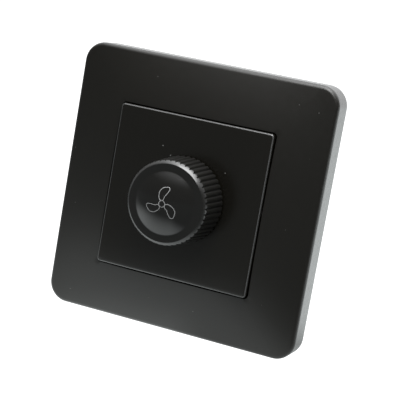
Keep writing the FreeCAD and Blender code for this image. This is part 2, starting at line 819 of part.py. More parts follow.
def knob():
    """The knurled knob: a drafted shell with a bevelled rim, a dome, flutes and a ribbed boss."""
    body = new_body("knob")
    shell = (
        ("knob_base_radius", KNOB_BASE),
        ("knob_top_radius", "knob_rim_depth - knob_bevel_height"),
        ("knob_flat_radius", "knob_rim_depth"),
        ("0", "knob_rim_depth"),
        ("0", KNOB_ROOF_DEPTH),
        (KNOB_INSIDE, KNOB_ROOF_DEPTH),
        (KNOB_INSIDE, KNOB_BASE),
    )
    turned_profile(body, shell)
    knob_dome(body)
    knob_flutes(body)
    boss = wall_sketch(body, f"{KNOB_ROOF_DEPTH} + knob_roof / 2")
    circle(boss, "knob_boss_radius")
    pad(body, boss, f"{KNOB_ROOF_DEPTH} + knob_roof / 2 - {KNOB_BOSS_END}", turned=True)
    rib = wall_sketch(body, f"{KNOB_ROOF_DEPTH} + knob_roof / 2")
    rib_start = "(knob_boss_radius - knob_rib_wall)"
    rib_end = f"({KNOB_INSIDE} + knob_wall / 2)"
    rectangle(rib, f"{rib_end} - {rib_start}", "knob_rib_wall", f"({rib_end} + {rib_start}) / 2")
    rib_foot = f"({KNOB_BOSS_END} + spring_ring_height + knob_rib_clearance)"
    ribs = pad(body, rib, f"{KNOB_ROOF_DEPTH} + knob_roof / 2 - {rib_foot}", turned=True)
    polar(body, ribs, "knob_rib_count")
    bore = wall_sketch(body, KNOB_BOSS_END)
    d_outline(bore, "shaft_radius + shaft_fit", "shaft_flat_offset + shaft_fit")
    pocket(body, bore, f"shaft_tip_depth + axial_play - {KNOB_BOSS_END}", turned=True)
    slit = wall_sketch(body, KNOB_BOSS_END)
    rectangle(slit, "knob_boss_slit", "2 * knob_boss_radius + knob_boss_slit")
    pocket(body, slit, "knob_boss_slit_length", turned=True)
    return keep(body)


def knob_dome(body):
    """The spherical cap inside the knob's flat rim."""
    sketch = sketch_on(body, "XY_Plane")
    base = "-(knob_rim_depth - knob_roof / 2)"
    rim = "-knob_rim_depth"
    apex = "-(knob_rim_depth + dome_rise)"
    ball = "((dome_radius ^ 2 + dome_rise ^ 2) / (2 * dome_rise))"
    corners = (("0", apex), ("0", base), ("dome_radius", base), ("dome_radius", rim))
    points = [FreeCAD.Vector(value(across), value(up), 0) for across, up in corners]
    for index in range(len(points) - 1):
        line = sketch.addGeometry(Part.LineSegment(points[index], points[index + 1]), False)
        pin_point(sketch, line, 1, *corners[index])
        pin_point(sketch, line, 2, *corners[index + 1])
    lean = math.asin(value("dome_radius") / value(ball)) / 2
    middle = FreeCAD.Vector(math.sin(lean), -math.cos(lean), 0) * value(ball)
    middle.y += value(apex) + value(ball)
    arc = sketch.addGeometry(Part.Arc(points[0], middle, points[-1]), False)
    sketch.addConstraint(Sketcher.Constraint("Coincident", arc, 1, 0, 1))
    sketch.addConstraint(Sketcher.Constraint("Coincident", arc, 2, line, 2))
    drive(sketch, "Radius", arc, formula=ball)
    revolve(body, sketch)


def knob_flutes(body):
    """V-shaped flutes all round the side that follow its draft and run out through the bevel."""
    levels = ((KNOB_BASE, "knob_base_radius"), ("knob_rim_depth", "knob_top_radius"))
    sections = []
    for depth, radius in levels:
        sketch = wall_sketch(body, depth)
        root = (f"{radius} - flute_depth", "0")
        spread = "2 * flute_half_width"
        high = (f"{radius} + flute_depth", spread)
        low = (f"{radius} + flute_depth", f"-{spread}")
        outline(sketch, (root, high, low))
        sections.append(sketch)
    polar(body, loft(body, "SubtractiveLoft", sections, ruled=True), "flute_count")


def knob_spring_ring():
    """The spring ring that closes the knob's split boss on the shaft."""
    body = new_body("knob_spring_ring")
    ring = wall_sketch(body, KNOB_BOSS_END)
    circle(ring, "knob_boss_radius + shaft_fit + spring_ring_wall")
    circle(ring, "knob_boss_radius + shaft_fit")
    pad(body, ring, "spring_ring_height")
    return keep(body)


def pot_shaft():
    """The turning shaft: a flat for the knob, a groove for its clip, its tail in the switch."""
    body = new_body("pot_shaft")
    groove = "shaft_radius - clip_groove"
    corners = (
        ("0", "shaft_tip_depth"),
        ("shaft_radius", "shaft_tip_depth"),
        ("shaft_radius", f"{CLIP_SEAT} + clip_thickness"),
        (groove, f"{CLIP_SEAT} + clip_thickness"),
        (groove, CLIP_SEAT),
        ("shaft_radius", CLIP_SEAT),
        ("shaft_radius", "shaft_rear_depth"),
        ("0", "shaft_rear_depth"),
    )
    turned_profile(body, corners)
    flat = wall_sketch(body, "shaft_tip_depth")
    width = "2 * shaft_radius"
    rectangle(flat, width, width, "shaft_flat_offset + shaft_radius")
    pocket(body, flat, f"shaft_tip_depth - {KNOB_BOSS_END}")
    return keep(body)


def shaft_clip():
    """The open ring in the shaft's groove that holds the shaft in its bushing."""
    body = new_body("shaft_clip")
    ring = wall_sketch(body, CLIP_SEAT)
    circle(ring, "clip_radius")
    circle(ring, "shaft_radius - clip_groove + shaft_fit")
    pad(body, ring, "clip_thickness")
    gap = wall_sketch(body, CLIP_SEAT)
    rectangle(gap, "clip_opening", "2 * clip_radius", "0", "-clip_radius")
    pocket(body, gap, "clip_thickness", turned=True)
    return keep(body)


def pot_wiper():
    """The rotor on the shaft, with the raised contact arm that sweeps the track."""
    body = new_body("pot_wiper")
    face = f"({TRACK_BACK} - wiper_gap - wiper_arm_rise)"
    disc = wall_sketch(body, face)
    circle(disc, "wiper_radius")
    pad(body, disc, "wiper_thickness", turned=True)
    arm = wall_sketch(body, face)
    reach = "wiper_radius - track_bore_radius"
    rectangle(arm, "wiper_arm_width", reach, "0", "(wiper_radius + track_bore_radius) / 2 - shaft_fit")
    pad(body, arm, "wiper_arm_rise")
    bore = wall_sketch(body, face)
    circle(bore, "shaft_radius + shaft_fit")
    pocket(body, bore, "2 * wiper_thickness")
    return keep(body)


def pot_bushing():
    """The threaded neck on its square flange, which carries the shaft and clamps to the insert panel."""
    body = new_body("pot_bushing")
    flange = wall_sketch(body, FLANGE_BACK)
    rectangle(flange, "pot_side", "pot_side")
    pad(body, flange, "flange_thickness")
    neck = wall_sketch(body, PANEL_BACK)
    circle(neck, "bushing_radius")
    pad(body, neck, "bushing_length")
    bore = wall_sketch(body, FLANGE_BACK)
    circle(bore, "shaft_radius + running_fit")
    pocket(body, bore, "flange_thickness + 2 * bushing_length", turned=True)
    return keep(body)


def neck_hardware():
    """The washer and the nut that hold the neck to the panel, under the knob."""
    washer = new_body("pot_washer")
    ring = wall_sketch(washer, "insert_front_depth")
    circle(ring, "washer_radius")
    circle(ring, "bushing_radius + shaft_fit")
    pad(washer, ring, "washer_thickness")
    keep(washer)
    nut = new_body("pot_nut")
    face = wall_sketch(nut, "insert_front_depth + washer_thickness")
    hexagon(face, "nut_across_flats")
    circle(face, "bushing_radius + shaft_fit")
    pad(nut, face, "nut_thickness")
    keep(nut)


def pot_track():
    """The wafer that carries the resistive track, with a tongue for the three tags."""
    body = new_body("pot_track")
    wafer = wall_sketch(body, TRACK_BACK)
    side = "pot_side - 2 * can_wall - 2 * can_clearance"
    rectangle(wafer, side, side)
    pad(body, wafer, "track_thickness")
    tongue = wall_sketch(body, TRACK_BACK)
    rectangle(tongue, "tongue_width", "tongue_reach", "0", "-tongue_reach / 2")
    pad(body, tongue, "track_thickness")
    bore = wall_sketch(body, TRACK_BACK)
    circle(bore, "track_bore_radius")
    pocket(body, bore, "track_thickness", turned=True)
    return keep(body)


def pot_can():
    """The steel can over the rotor, notched below for the wafer's tongue."""
    body = new_body("pot_can")
    shell = wall_sketch(body, CAN_BACK)
    rectangle(shell, "pot_side", "pot_side")
    pad(body, shell, "can_length")
    inside = wall_sketch(body, FLANGE_BACK)
    rectangle(inside, "pot_side - 2 * can_wall", "pot_side - 2 * can_wall")
    pocket(body, inside, "can_length - can_wall")
    hole = wall_sketch(body, FLANGE_BACK)
    circle(hole, "can_hole_radius")
    pocket(body, hole, "2 * can_length")
    notch = wall_sketch(body, FLANGE_BACK)
    rectangle(notch, "tongue_width + 2 * can_clearance", "4 * can_wall", "0", "-pot_side / 2")
    pocket(body, notch, "track_thickness + tag_thickness + can_clearance")
    return keep(body)


def pot_terminals():
    """Three tags riveted under the wafer's tongue that run back to the board."""
    body = new_body("pot_tag")
    strip = sketch_on(body, "YZ_Plane", "-tag_width / 2")
    seat = f"-{TRACK_BACK}"
    low = "-tongue_reach"
    corners = (
        (seat, f"{low} + tag_seat"),
        (seat, low),
        ("board_front", low),
        ("board_front", f"{low} + tag_thickness"),
        (f"{seat} + tag_thickness", f"{low} + tag_thickness"),
        (f"{seat} + tag_thickness", f"{low} + tag_seat"),
    )
    outline(strip, corners)
    pad(body, strip, "tag_width")
    return group("pot_terminals", body, [(f"{index} * tag_pitch",) for index in (-1, 0, 1)])


def switch_case():
    """The case of the on and off switch behind the can, bored for the shaft's tail."""
    body = new_body("switch_case")
    block = wall_sketch(body, CAN_BACK)
    rectangle(block, "switch_width", "switch_height")
    pad(body, block, "switch_length", turned=True)
    bore = wall_sketch(body, CAN_BACK)
    circle(bore, "shaft_radius + switch_bore_clearance")
    pocket(body, bore, f"{CAN_BACK} - shaft_rear_depth + switch_bore_clearance")
    return keep(body)


def switch_terminals():
    """The two blades of the switch, down to the board."""
    body = new_body("switch_terminals")
    blades = wall_sketch(body, SWITCH_BACK)
    for side in SIGNS:
        rectangle(blades, "blade_width", "tag_thickness", f"{side} * blade_spacing / 2")
    pad(body, blades, f"board_front + {SWITCH_BACK}", turned=True)
    return keep(body)


def circuit_board():
    """The board across the tub, drilled for its screws and for the power switch's screw."""
    body = new_body("circuit_board")
    board = wall_sketch(body, "-board_front")
    half = f"({BOARD_SIDE} / 2)"
    inner = f"({BOARD_SIDE} / 2 - board_corner)"
    corners = []
    for across, up in ((1, 1), (-1, 1), (-1, -1), (1, -1)):
        side_end = (f"{across} * {half}", f"{up} * {inner}")
        level_end = (f"{across} * {inner}", f"{up} * {half}")
        corners += [side_end, level_end] if across * up > 0 else [level_end, side_end]
    outline(board, corners)
    pad(body, board, "board_thickness", turned=True)
    holes = wall_sketch(body, "-board_front")
    for side in SIGNS:
        offset = f"{side} * {POST_OFFSET}"
        circle(holes, "board_screw_radius + hole_clearance", offset, offset)
    circle(holes, "triac_screw_radius + hole_clearance", "0", TRIAC_HOLE_UP)
    pocket(body, holes, "2 * board_thickness")
    return keep(body)


def heat_sink():
    """The finned channel under the power switch."""
    body = new_body("heat_sink")
    channel = sketch_on(body, "XY_Plane", "heat_sink_low")
    half = "heat_sink_width / 2"
    inner = "(heat_sink_width / 2 - heat_sink_fin)"
    rear = f"{BOARD_REAR} + heat_sink_height"
    corners = (
        (f"-{half}", BOARD_REAR),
        (half, BOARD_REAR),
        (half, rear),
        (inner, rear),
        (inner, SINK_REAR),
        (f"-{inner}", SINK_REAR),
        (f"-{inner}", rear),
        (f"-{half}", rear),
    )
    outline(channel, corners)
    pad(body, channel, "heat_sink_length")
    hole = wall_sketch(body, f"-{BOARD_REAR}")
    circle(hole, "triac_screw_radius + hole_clearance", "0", TRIAC_HOLE_UP)
    pocket(body, hole, "2 * heat_sink_base")
    return keep(body)


def triac():
    """The power switch: a case moulded on a metal tab, with three legs down to the board, and its nut."""
    case = new_body("triac_case")
    block = wall_sketch(case, f"-{TAB_REAR}")
    rectangle(block, "triac_width", "triac_case_length", "0", "triac_low + triac_case_length / 2")
    pad(case, block, "triac_case_height", turned=True)
    rear = f"-({TAB_REAR} + triac_case_height)"
    soften(case, "Chamfer", "triac_case_chamfer", edges_between(rear, rear))
    keep(case)
    frame = new_body("triac_leadframe")
    tab = wall_sketch(frame, f"-{SINK_REAR}")
    rectangle(tab, "triac_width", "triac_tab_length", "0", "triac_low + triac_tab_length / 2")
    circle(tab, "triac_screw_radius + hole_clearance", "0", TRIAC_HOLE_UP)
    pad(frame, tab, "triac_tab_thickness", turned=True)
    for index in (-1, 0, 1):
        triac_leg(frame, index)
    keep(frame)
    nut = new_body("triac_nut")
    face = wall_sketch(nut, "0")
    hexagon(face, "triac_nut_across_flats")
    circle(face, "triac_screw_radius + screw_clearance")
    pad(nut, face, "triac_nut_thickness")
    place(nut, "0", "board_front", TRIAC_HOLE_UP)
    keep(nut)


def triac_leg(body, index):
    """One leg: out of the case's lower face, then bent down to the board."""
    across = f"{index} * triac_leg_pitch - triac_leg_width / 2"
    strip = sketch_on(body, "YZ_Plane", across)
    rise = f"({TAB_REAR} + triac_case_height / 2)"
    low = "(triac_low - triac_leg_reach)"
    corners = (
        (rise, "triac_low"),
        (rise, f"{low} + triac_leg_thickness"),
        (BOARD_REAR, f"{low} + triac_leg_thickness"),
        (BOARD_REAR, low),
        (f"{rise} + triac_leg_thickness", low),
        (f"{rise} + triac_leg_thickness", "triac_low"),
    )
    outline(strip, corners)
    pad(body, strip, "triac_leg_width")


def boxed_piece(name):
    """A capacitor or fuse in a moulded box that stands on the board, with softened edges."""
    body = new_body(name)
    base = wall_sketch(body, f"-{BOARD_REAR}")
    rectangle(base, f"{name}_width", f"{name}_length", f"{name}_across", f"{name}_up")
    pad(body, base, f"{name}_height", turned=True)
    rear = f"-({BOARD_REAR} + {name}_height)"
    soften(body, "Chamfer", "boxed_edge", edges_between(rear, rear))
    return keep(body)


def choke():
    """The suppression choke: a ferrite rod that stands on the board, and its copper winding."""
    core = new_body("choke_core")
    rod = wall_sketch(core, "0")
    circle(rod, "choke_core_radius")
    pad(core, rod, "choke_height", turned=True)
    winding = new_body("choke_winding")
    turns = wall_sketch(winding, "-choke_end")
    circle(turns, "winding_radius")
    circle(turns, "choke_core_radius + winding_clearance")
    pad(winding, turns, "choke_height - 2 * choke_end", turned=True)
    for item in (core, winding):
        place(item, "choke_across", BOARD_REAR, "choke_up")
        keep(item)


def axial_piece(name, size):
    """A small axial piece: a round body along X, on a staple of flat lead that stands on the board."""
    body = new_body(name)
    profile = sketch_on(body, "XY_Plane")
    half = f"{size}_length / 2"
    radius = f"{size}_radius"
    outline(profile, ((f"-{half}", "0"), (f"-{half}", radius), (half, radius), (half, "0")))
    revolve(body, profile, "H_Axis")
    staple = sketch_on(body, "XY_Plane", "-lead_side / 2")
    outer = f"({size}_span / 2)"
    inner = f"({size}_span / 2 - lead_side)"
    foot = f"-({size}_radius + axial_lift)"
    corners = (
        (f"-{outer}", foot),
        (f"-{inner}", foot),
        (f"-{inner}", "-lead_side / 2"),
        (inner, "-lead_side / 2"),
        (inner, foot),
        (outer, foot),
        (outer, "lead_side / 2"),
        (f"-{outer}", "lead_side / 2"),
    )
    outline(staple, corners)
    pad(body, staple, "lead_side")
    return body


def axial_pieces():
    """The timing resistors in a row, and the trigger diode."""
    resistor = axial_piece("resistor", "resistor")
    lift = f"{BOARD_REAR} + resistor_radius + axial_lift"
    rows = [f"resistor_up - {index} * resistor_pitch" for index in range(int(value("resistor_count")))]
    group("resistors", resistor, [("resistor_across", lift, row) for row in rows])
    diode = axial_piece("diac", "diac")
    place(diode, "diac_across", f"{BOARD_REAR} + diac_radius + axial_lift", "diac_up")
    keep(diode)


def terminal_block():
    """The two-way block in the tub's lower window: wire bores below, wells for the clamps behind."""
    body = new_body("terminal_block")
    base = wall_sketch(body, f"-{BOARD_REAR}")
    height = "housing_side / 2 - terminal_inner_reach"
    rectangle(base, "terminal_width", height, "0", "-(housing_side / 2 + terminal_inner_reach) / 2")
    pad(body, base, f"{TERMINAL_REAR} - {BOARD_REAR}", turned=True)
    wells = wall_sketch(body, f"-{TERMINAL_REAR}")
    for side in SIGNS:
        across = f"{side} * terminal_spacing / 2"
        rectangle(wells, "terminal_well_side", "terminal_well_side", across, "terminal_well_up")
    pocket(body, wells, f"{TERMINAL_REAR} - {WELL_FLOOR}", turned=True)
    bores = sketch_on(body, "XY_Plane", "-housing_side / 2")
    level = f"{BOARD_REAR} + wire_bore_height"
    for side in SIGNS:
        circle(bores, "wire_bore_radius", f"{side} * terminal_spacing / 2", level)
    pocket(body, bores, "housing_side / 2 + terminal_well_up", turned=True)
    return keep(body)


def terminal_clamps():
    """The two brass clamps in the wells, bored for the wire and for the screw."""
    body = new_body("terminal_clamp")
    block = wall_sketch(body, "0")
    rectangle(block, CLAMP_SIDE, CLAMP_SIDE)
    pad(body, block, "clamp_height", turned=True)
    wire = sketch_on(body, "XY_Plane", f"-{CLAMP_SIDE}")
    rectangle(wire, "2 * wire_bore_radius", "2 * wire_bore_radius", "0", "wire_bore_height - terminal_floor")
    pocket(body, wire, f"2 * {CLAMP_SIDE}", turned=True)
    screw = wall_sketch(body, "-clamp_height")
    circle(screw, "terminal_screw_radius + screw_clearance")
    pocket(body, screw, "clamp_height - (wire_bore_height - terminal_floor)", turned=True)
    spots = [(f"{side} * terminal_spacing / 2", WELL_FLOOR, "terminal_well_up") for side in SIGNS]
    return group("terminal_clamps", body, spots)


def check_and_write():
    """Stop if any object failed, then write each node to its own file."""
    doc.recompute()
    for item in doc.Objects:
        if {"Invalid", "Error"} & set(item.State):
            raise ValueError(f"{item.Name} failed: {item.State}")
    for node in nodes:
        if node.Shape.isNull() or not node.Shape.isValid():
            raise ValueError(f"{node.Label} has no valid shape")
    os.makedirs("parts", exist_ok=True)
    for node in nodes:
        node.Shape.exportStep(f"parts/{node.Label}.step")


fill_sheet()
frame_plate()
insert_panel()
mounting_frame()
rear_housing()
knob()
knob_spring_ring()
pot_shaft()
shaft_clip()
pot_wiper()
pot_bushing()
neck_hardware()
pot_track()
pot_can()
pot_terminals()
switch_case()
switch_terminals()
circuit_board()
heat_sink()
triac()
boxed_piece("film_capacitor")
boxed_piece("timing_capacitor")
boxed_piece("fuse")
choke()
axial_pieces()
terminal_block()
terminal_clamps()
screw_sets()
check_and_write()
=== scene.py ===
"""Looks of a fan speed control switch: a black wall plate with an insert and a knurled domed knob."""

import json
import logging
import math
from dataclasses import dataclass
from enum import Enum
from typing import Callable, Sequence

import bmesh
import bpy
from mathutils import Matrix, Vector


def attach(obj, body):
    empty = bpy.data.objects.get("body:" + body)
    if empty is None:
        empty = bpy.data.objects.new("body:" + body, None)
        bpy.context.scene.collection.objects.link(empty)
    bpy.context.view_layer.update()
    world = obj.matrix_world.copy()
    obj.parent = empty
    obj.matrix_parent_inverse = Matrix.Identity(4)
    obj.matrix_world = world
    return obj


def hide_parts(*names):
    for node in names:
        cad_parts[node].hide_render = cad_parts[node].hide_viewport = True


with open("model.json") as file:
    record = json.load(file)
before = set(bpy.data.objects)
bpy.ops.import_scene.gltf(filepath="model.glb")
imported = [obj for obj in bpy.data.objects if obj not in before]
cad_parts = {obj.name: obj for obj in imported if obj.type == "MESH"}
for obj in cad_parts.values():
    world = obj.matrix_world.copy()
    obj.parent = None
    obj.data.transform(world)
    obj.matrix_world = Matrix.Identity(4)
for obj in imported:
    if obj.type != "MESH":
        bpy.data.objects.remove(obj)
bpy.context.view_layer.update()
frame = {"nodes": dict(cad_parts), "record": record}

LOG = logging.getLogger("fan_speed_switch")
MM = 0.001
TOUCH = 1e-6
STACK_START = 0.2
STACK_STEP = 0.005
PATTERN_SCALE = 900.0
BUMP_STRENGTH = 0.5
DUST_COLOUR = (0.16, 0.16, 0.155)
DUST_CELLS = 320.0
DUST_RARITY = 0.8
STREAK_STRETCH = (0.15, 1.0, 1.0)
STREAK_BLOTCH = 0.15
Colour = tuple[float, float, float]
Socket = bpy.types.NodeSocket
Tree = bpy.types.NodeTree


class Body(Enum):
    """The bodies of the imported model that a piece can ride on."""

    BASE = "base"
    KNOB = "knob_shaft"


class Surface(Enum):
    """How a finish breaks up the light."""

    MOULDED = "moulded"
    MACHINED = "machined"


def clear_selection() -> None:
    """Leave every object unselected."""
    if bpy.context.object and bpy.context.object.mode != "OBJECT":
        bpy.ops.object.mode_set(mode="OBJECT")
    bpy.ops.object.select_all(action="DESELECT")


def take_up(piece: bpy.types.Object) -> None:
    """Select one piece alone and make it active."""
    clear_selection()
    piece.select_set(True)
    bpy.context.view_layer.objects.active = piece


def edit(piece: bpy.types.Object, everything: bool = True) -> bmesh.types.BMesh:
    """Open a piece in edit mode.

    Args:
        piece: The piece to open.
        everything: Whether all of it starts selected.

    Returns:
        The mesh under edit.
    """
    take_up(piece)
    bpy.ops.object.mode_set(mode="EDIT")
    bpy.ops.mesh.select_mode(type="VERT")
    bpy.ops.mesh.select_all(action="SELECT" if everything else "DESELECT")
    return bmesh.from_edit_mesh(piece.data)


def pick(piece: bpy.types.Object, wanted: Callable[[Vector], bool]) -> None:
    """Select the points of the piece under edit that a test picks out.

    Args:
        piece: The piece in edit mode.
        wanted: Says of a point's place, in metres, whether it is picked.
    """
    bpy.ops.mesh.select_all(action="DESELECT")
    mesh = bmesh.from_edit_mesh(piece.data)
    for point in mesh.verts:
        point.select = wanted(point.co)
    mesh.select_flush(True)
    bmesh.update_edit_mesh(piece.data)


def settle(piece: bpy.types.Object, crease: float = 32.0) -> bpy.types.Object:
    """Close seams, turn the faces outwards and smooth all but the sharp edges.

    Args:
        piece: The piece to settle.
        crease: The angle in degrees past which an edge stays sharp.

    Returns:
        The same piece.
    """
    edit(piece)
    bpy.ops.mesh.remove_doubles(threshold=TOUCH)
    bpy.ops.mesh.normals_make_consistent(inside=False)
    bpy.ops.object.mode_set(mode="OBJECT")
    smooth(piece, crease)
    return piece


def smooth(piece: bpy.types.Object, crease: float) -> None:
    """Smooth all but the sharp edges, with the shading led by the large faces.

    Args:
        piece: The piece to smooth.
        crease: The angle in degrees past which an edge stays sharp.
    """
    take_up(piece)
    bpy.ops.object.shade_smooth_by_angle(angle=math.radians(crease))
    bpy.ops.object.modifier_add(type="WEIGHTED_NORMAL")
    piece.modifiers[-1].keep_sharp = True
    bpy.ops.object.modifier_apply(modifier=piece.modifiers[-1].name)


def join_pieces(name: str, parts: Sequence[bpy.types.Object]) -> bpy.types.Object:
    """Join several objects into one of a given name.

    Args:
        name: The name of the result.
        parts: The objects to join.

    Returns:
        The joined object.
    """
    clear_selection()
    for part in parts:
        part.select_set(True)
    bpy.context.view_layer.objects.active = parts[0]
    if len(parts) > 1:
        bpy.ops.object.join()
    parts[0].name = name
    return parts[0]


def boolean(piece: bpy.types.Object, tool: bpy.types.Object, operation: str) -> None:
    """Apply a boolean with a tool piece, then throw the tool away.

    Args:
        piece: The piece that is changed.
        tool: The piece that cuts or bounds it.
        operation: DIFFERENCE or INTERSECT.
    """
    take_up(piece)
    bpy.ops.object.modifier_add(type="BOOLEAN")
    step = piece.modifiers[-1]
    step.object = tool
    step.operation = operation
    step.solver = "EXACT"
    bpy.ops.object.modifier_apply(modifier=step.name)
    bpy.data.objects.remove(tool)


def hand_over(piece: bpy.types.Object, body: Body, finish: "Finish", *nodes: str) -> None:
    """Dress a finished piece, set it on its body and let it stand for CAD nodes.

    Args:
        piece: The finished piece.
        body: The body that carries it.
        finish: Its finish.
        nodes: The CAD nodes that it stands for.
    """
    piece.data.materials.clear()
    piece.data.materials.append(finish.material())
    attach(piece, body.value)
    if nodes:
        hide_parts(*nodes)
    LOG.info("%s: %d faces on %s", piece.name, len(piece.data.polygons), body.value)


@dataclass(frozen=True)
class Fade:
    """A smooth lead from one span of values onto another."""

    start: tuple[float, float]
    end: tuple[float, float]

    def over(self, tree: Tree, value: Socket) -> Socket:
        """Lead a value from the first span onto the second.

        Args:
            tree: The nodes to add to.
            value: The socket of the value.

        Returns:
            The socket of the result.
        """
        node = tree.nodes.new("ShaderNodeMapRange")
        node.interpolation_type = "SMOOTHSTEP"
        for label, number in zip(("From Min", "From Max", "To Min", "To Max"), (*self.start, *self.end)):
            node.inputs[label].default_value = number
        tree.links.new(value, node.inputs["Value"])
        return node.outputs["Result"]


def calculate(tree: Tree, operation: str, first: "Socket | float", second: "Socket | float") -> Socket:
    """Combine two values.

    Args:
        tree: The nodes to add to.
        operation: The sum to do.
        first: A socket or a number.
        second: A socket or a number.

    Returns:
        The socket of the result.
    """
    node = tree.nodes.new("ShaderNodeMath")
    node.operation = operation
    for socket, value in zip(node.inputs, (first, second)):
        if isinstance(value, float):
            socket.default_value = value
        else:
            tree.links.new(value, socket)
    return node.outputs[0]


def separate(tree: Tree, place: Socket) -> bpy.types.Node:
    """Split a place into its three coordinates.

    Args:
        tree: The nodes to add to.
        place: The socket of the place.

    Returns:
        The node with the outputs X, Y and Z.
    """
    split = tree.nodes.new("ShaderNodeSeparateXYZ")
    tree.links.new(place, split.inputs["Vector"])
    return split


def blend(tree: Tree, share: Socket, first: "Socket | Colour", second: "Socket | Colour") -> Socket:
    """Mix two colours.

    Args:
        tree: The nodes to add to.
        share: The socket of the second colour's share.
        first: A socket or a colour.
        second: A socket or a colour.

    Returns:
        The socket of the mixed colour.
    """
    mix = tree.nodes.new("ShaderNodeMix")
    mix.data_type = "RGBA"
    tree.links.new(share, mix.inputs[0])
    for socket, colour in zip(mix.inputs[6:8], (first, second)):
        if isinstance(colour, tuple):
            socket.default_value = (*colour, 1)
        else:
            tree.links.new(colour, socket)
    return mix.outputs[2]


class EffectGroups:
    """Shader node groups that several finishes share."""

    @staticmethod
    def start(name: str, inputs: dict[str, float], outputs: Sequence[str]) -> Tree:
        """Make an empty group with a vector input and other sockets.

        Args:
            name: The group's name.
            inputs: The names of the value inputs and their defaults.
            outputs: The names of the value outputs.

        Returns:
            The new group.
        """
        tree = bpy.data.node_groups.new(name, "ShaderNodeTree")
        tree.interface.new_socket("Vector", in_out="INPUT", socket_type="NodeSocketVector")
        for label, default in inputs.items():
            socket = tree.interface.new_socket(label, in_out="INPUT", socket_type="NodeSocketFloat")
            socket.default_value = default
        for label in outputs:
            tree.interface.new_socket(label, in_out="OUTPUT", socket_type="NodeSocketFloat")
        tree.nodes.new("NodeGroupInput")
        tree.nodes.new("NodeGroupOutput")
        return tree

    @staticmethod
    def noise(tree: Tree, place: Socket, scale: Socket, detail: float) -> Socket:
        """Add a noise to a group.

        Args:
            tree: The group.
            place: The socket of the place.
            scale: The socket of the noise's scale.
            detail: The noise's detail.

        Returns:
            The socket of the noise.
        """
        node = tree.nodes.new("ShaderNodeTexNoise")
        node.inputs["Detail"].default_value = detail
        tree.links.new(place, node.inputs["Vector"])
        tree.links.new(scale, node.inputs["Scale"])
        return node.outputs["Fac"]

    @classmethod
    def grain(cls) -> Tree:
        """The fine grain of a moulded surface: a drift of tone, a gloss mottle and a pebbled height."""
        if "moulded_grain" in bpy.data.node_groups:
            return bpy.data.node_groups["moulded_grain"]
        tree = cls.start("moulded_grain", {"Scale": PATTERN_SCALE}, ("Tone", "Gloss", "Height"))
        entry, end = tree.nodes["Group Input"], tree.nodes["Group Output"]
        for label, share, detail in (("Tone", 0.03, 3.0), ("Gloss", 0.25, 4.0), ("Height", 1.0, 2.0)):
            scale = calculate(tree, "MULTIPLY", entry.outputs["Scale"], share)
            tree.links.new(cls.noise(tree, entry.outputs["Vector"], scale, detail), end.inputs[label])
        return tree

    @classmethod
    def streaks(cls) -> Tree:
        """The fine lines of a drawn or turned metal surface, with blotches in its plating."""
        if "machined_streaks" in bpy.data.node_groups:
            return bpy.data.node_groups["machined_streaks"]
        tree = cls.start("machined_streaks", {"Scale": PATTERN_SCALE}, ("Tone", "Gloss", "Height"))
        entry, end = tree.nodes["Group Input"], tree.nodes["Group Output"]
        stretch = tree.nodes.new("ShaderNodeMapping")
        stretch.inputs["Scale"].default_value = STREAK_STRETCH
        tree.links.new(entry.outputs["Vector"], stretch.inputs["Vector"])
        lines = cls.noise(tree, stretch.outputs["Vector"], entry.outputs["Scale"], 5.0)
        slow = calculate(tree, "MULTIPLY", entry.outputs["Scale"], STREAK_BLOTCH)
        blotch = cls.noise(tree, entry.outputs["Vector"], slow, 4.0)
        for label, result in (("Tone", blotch), ("Gloss", lines), ("Height", lines)):
            tree.links.new(result, end.inputs[label])
        return tree

    @classmethod
    def dust(cls) -> Tree:
        """Sparse specks of settled dust: small dots, kept in a few of the cells that hold them."""
        if "settled_dust" in bpy.data.node_groups:
            return bpy.data.node_groups["settled_dust"]
        tree = cls.start("settled_dust", {"Scale": DUST_CELLS, "Speck": 0.05}, ("Mask",))
        entry, end = tree.nodes["Group Input"], tree.nodes["Group Output"]
        cells = tree.nodes.new("ShaderNodeTexVoronoi")
        cells.inputs["Randomness"].default_value = 1.0
        tree.links.new(entry.outputs["Vector"], cells.inputs["Vector"])
        tree.links.new(entry.outputs["Scale"], cells.inputs["Scale"])
        dot = calculate(tree, "LESS_THAN", cells.outputs["Distance"], entry.outputs["Speck"])
        split = tree.nodes.new("ShaderNodeSeparateColor")
        tree.links.new(cells.outputs["Color"], split.inputs["Color"])
        rare = calculate(tree, "GREATER_THAN", split.outputs["Red"], DUST_RARITY)
        tree.links.new(calculate(tree, "MULTIPLY", dot, rare), end.inputs["Mask"])
        return tree


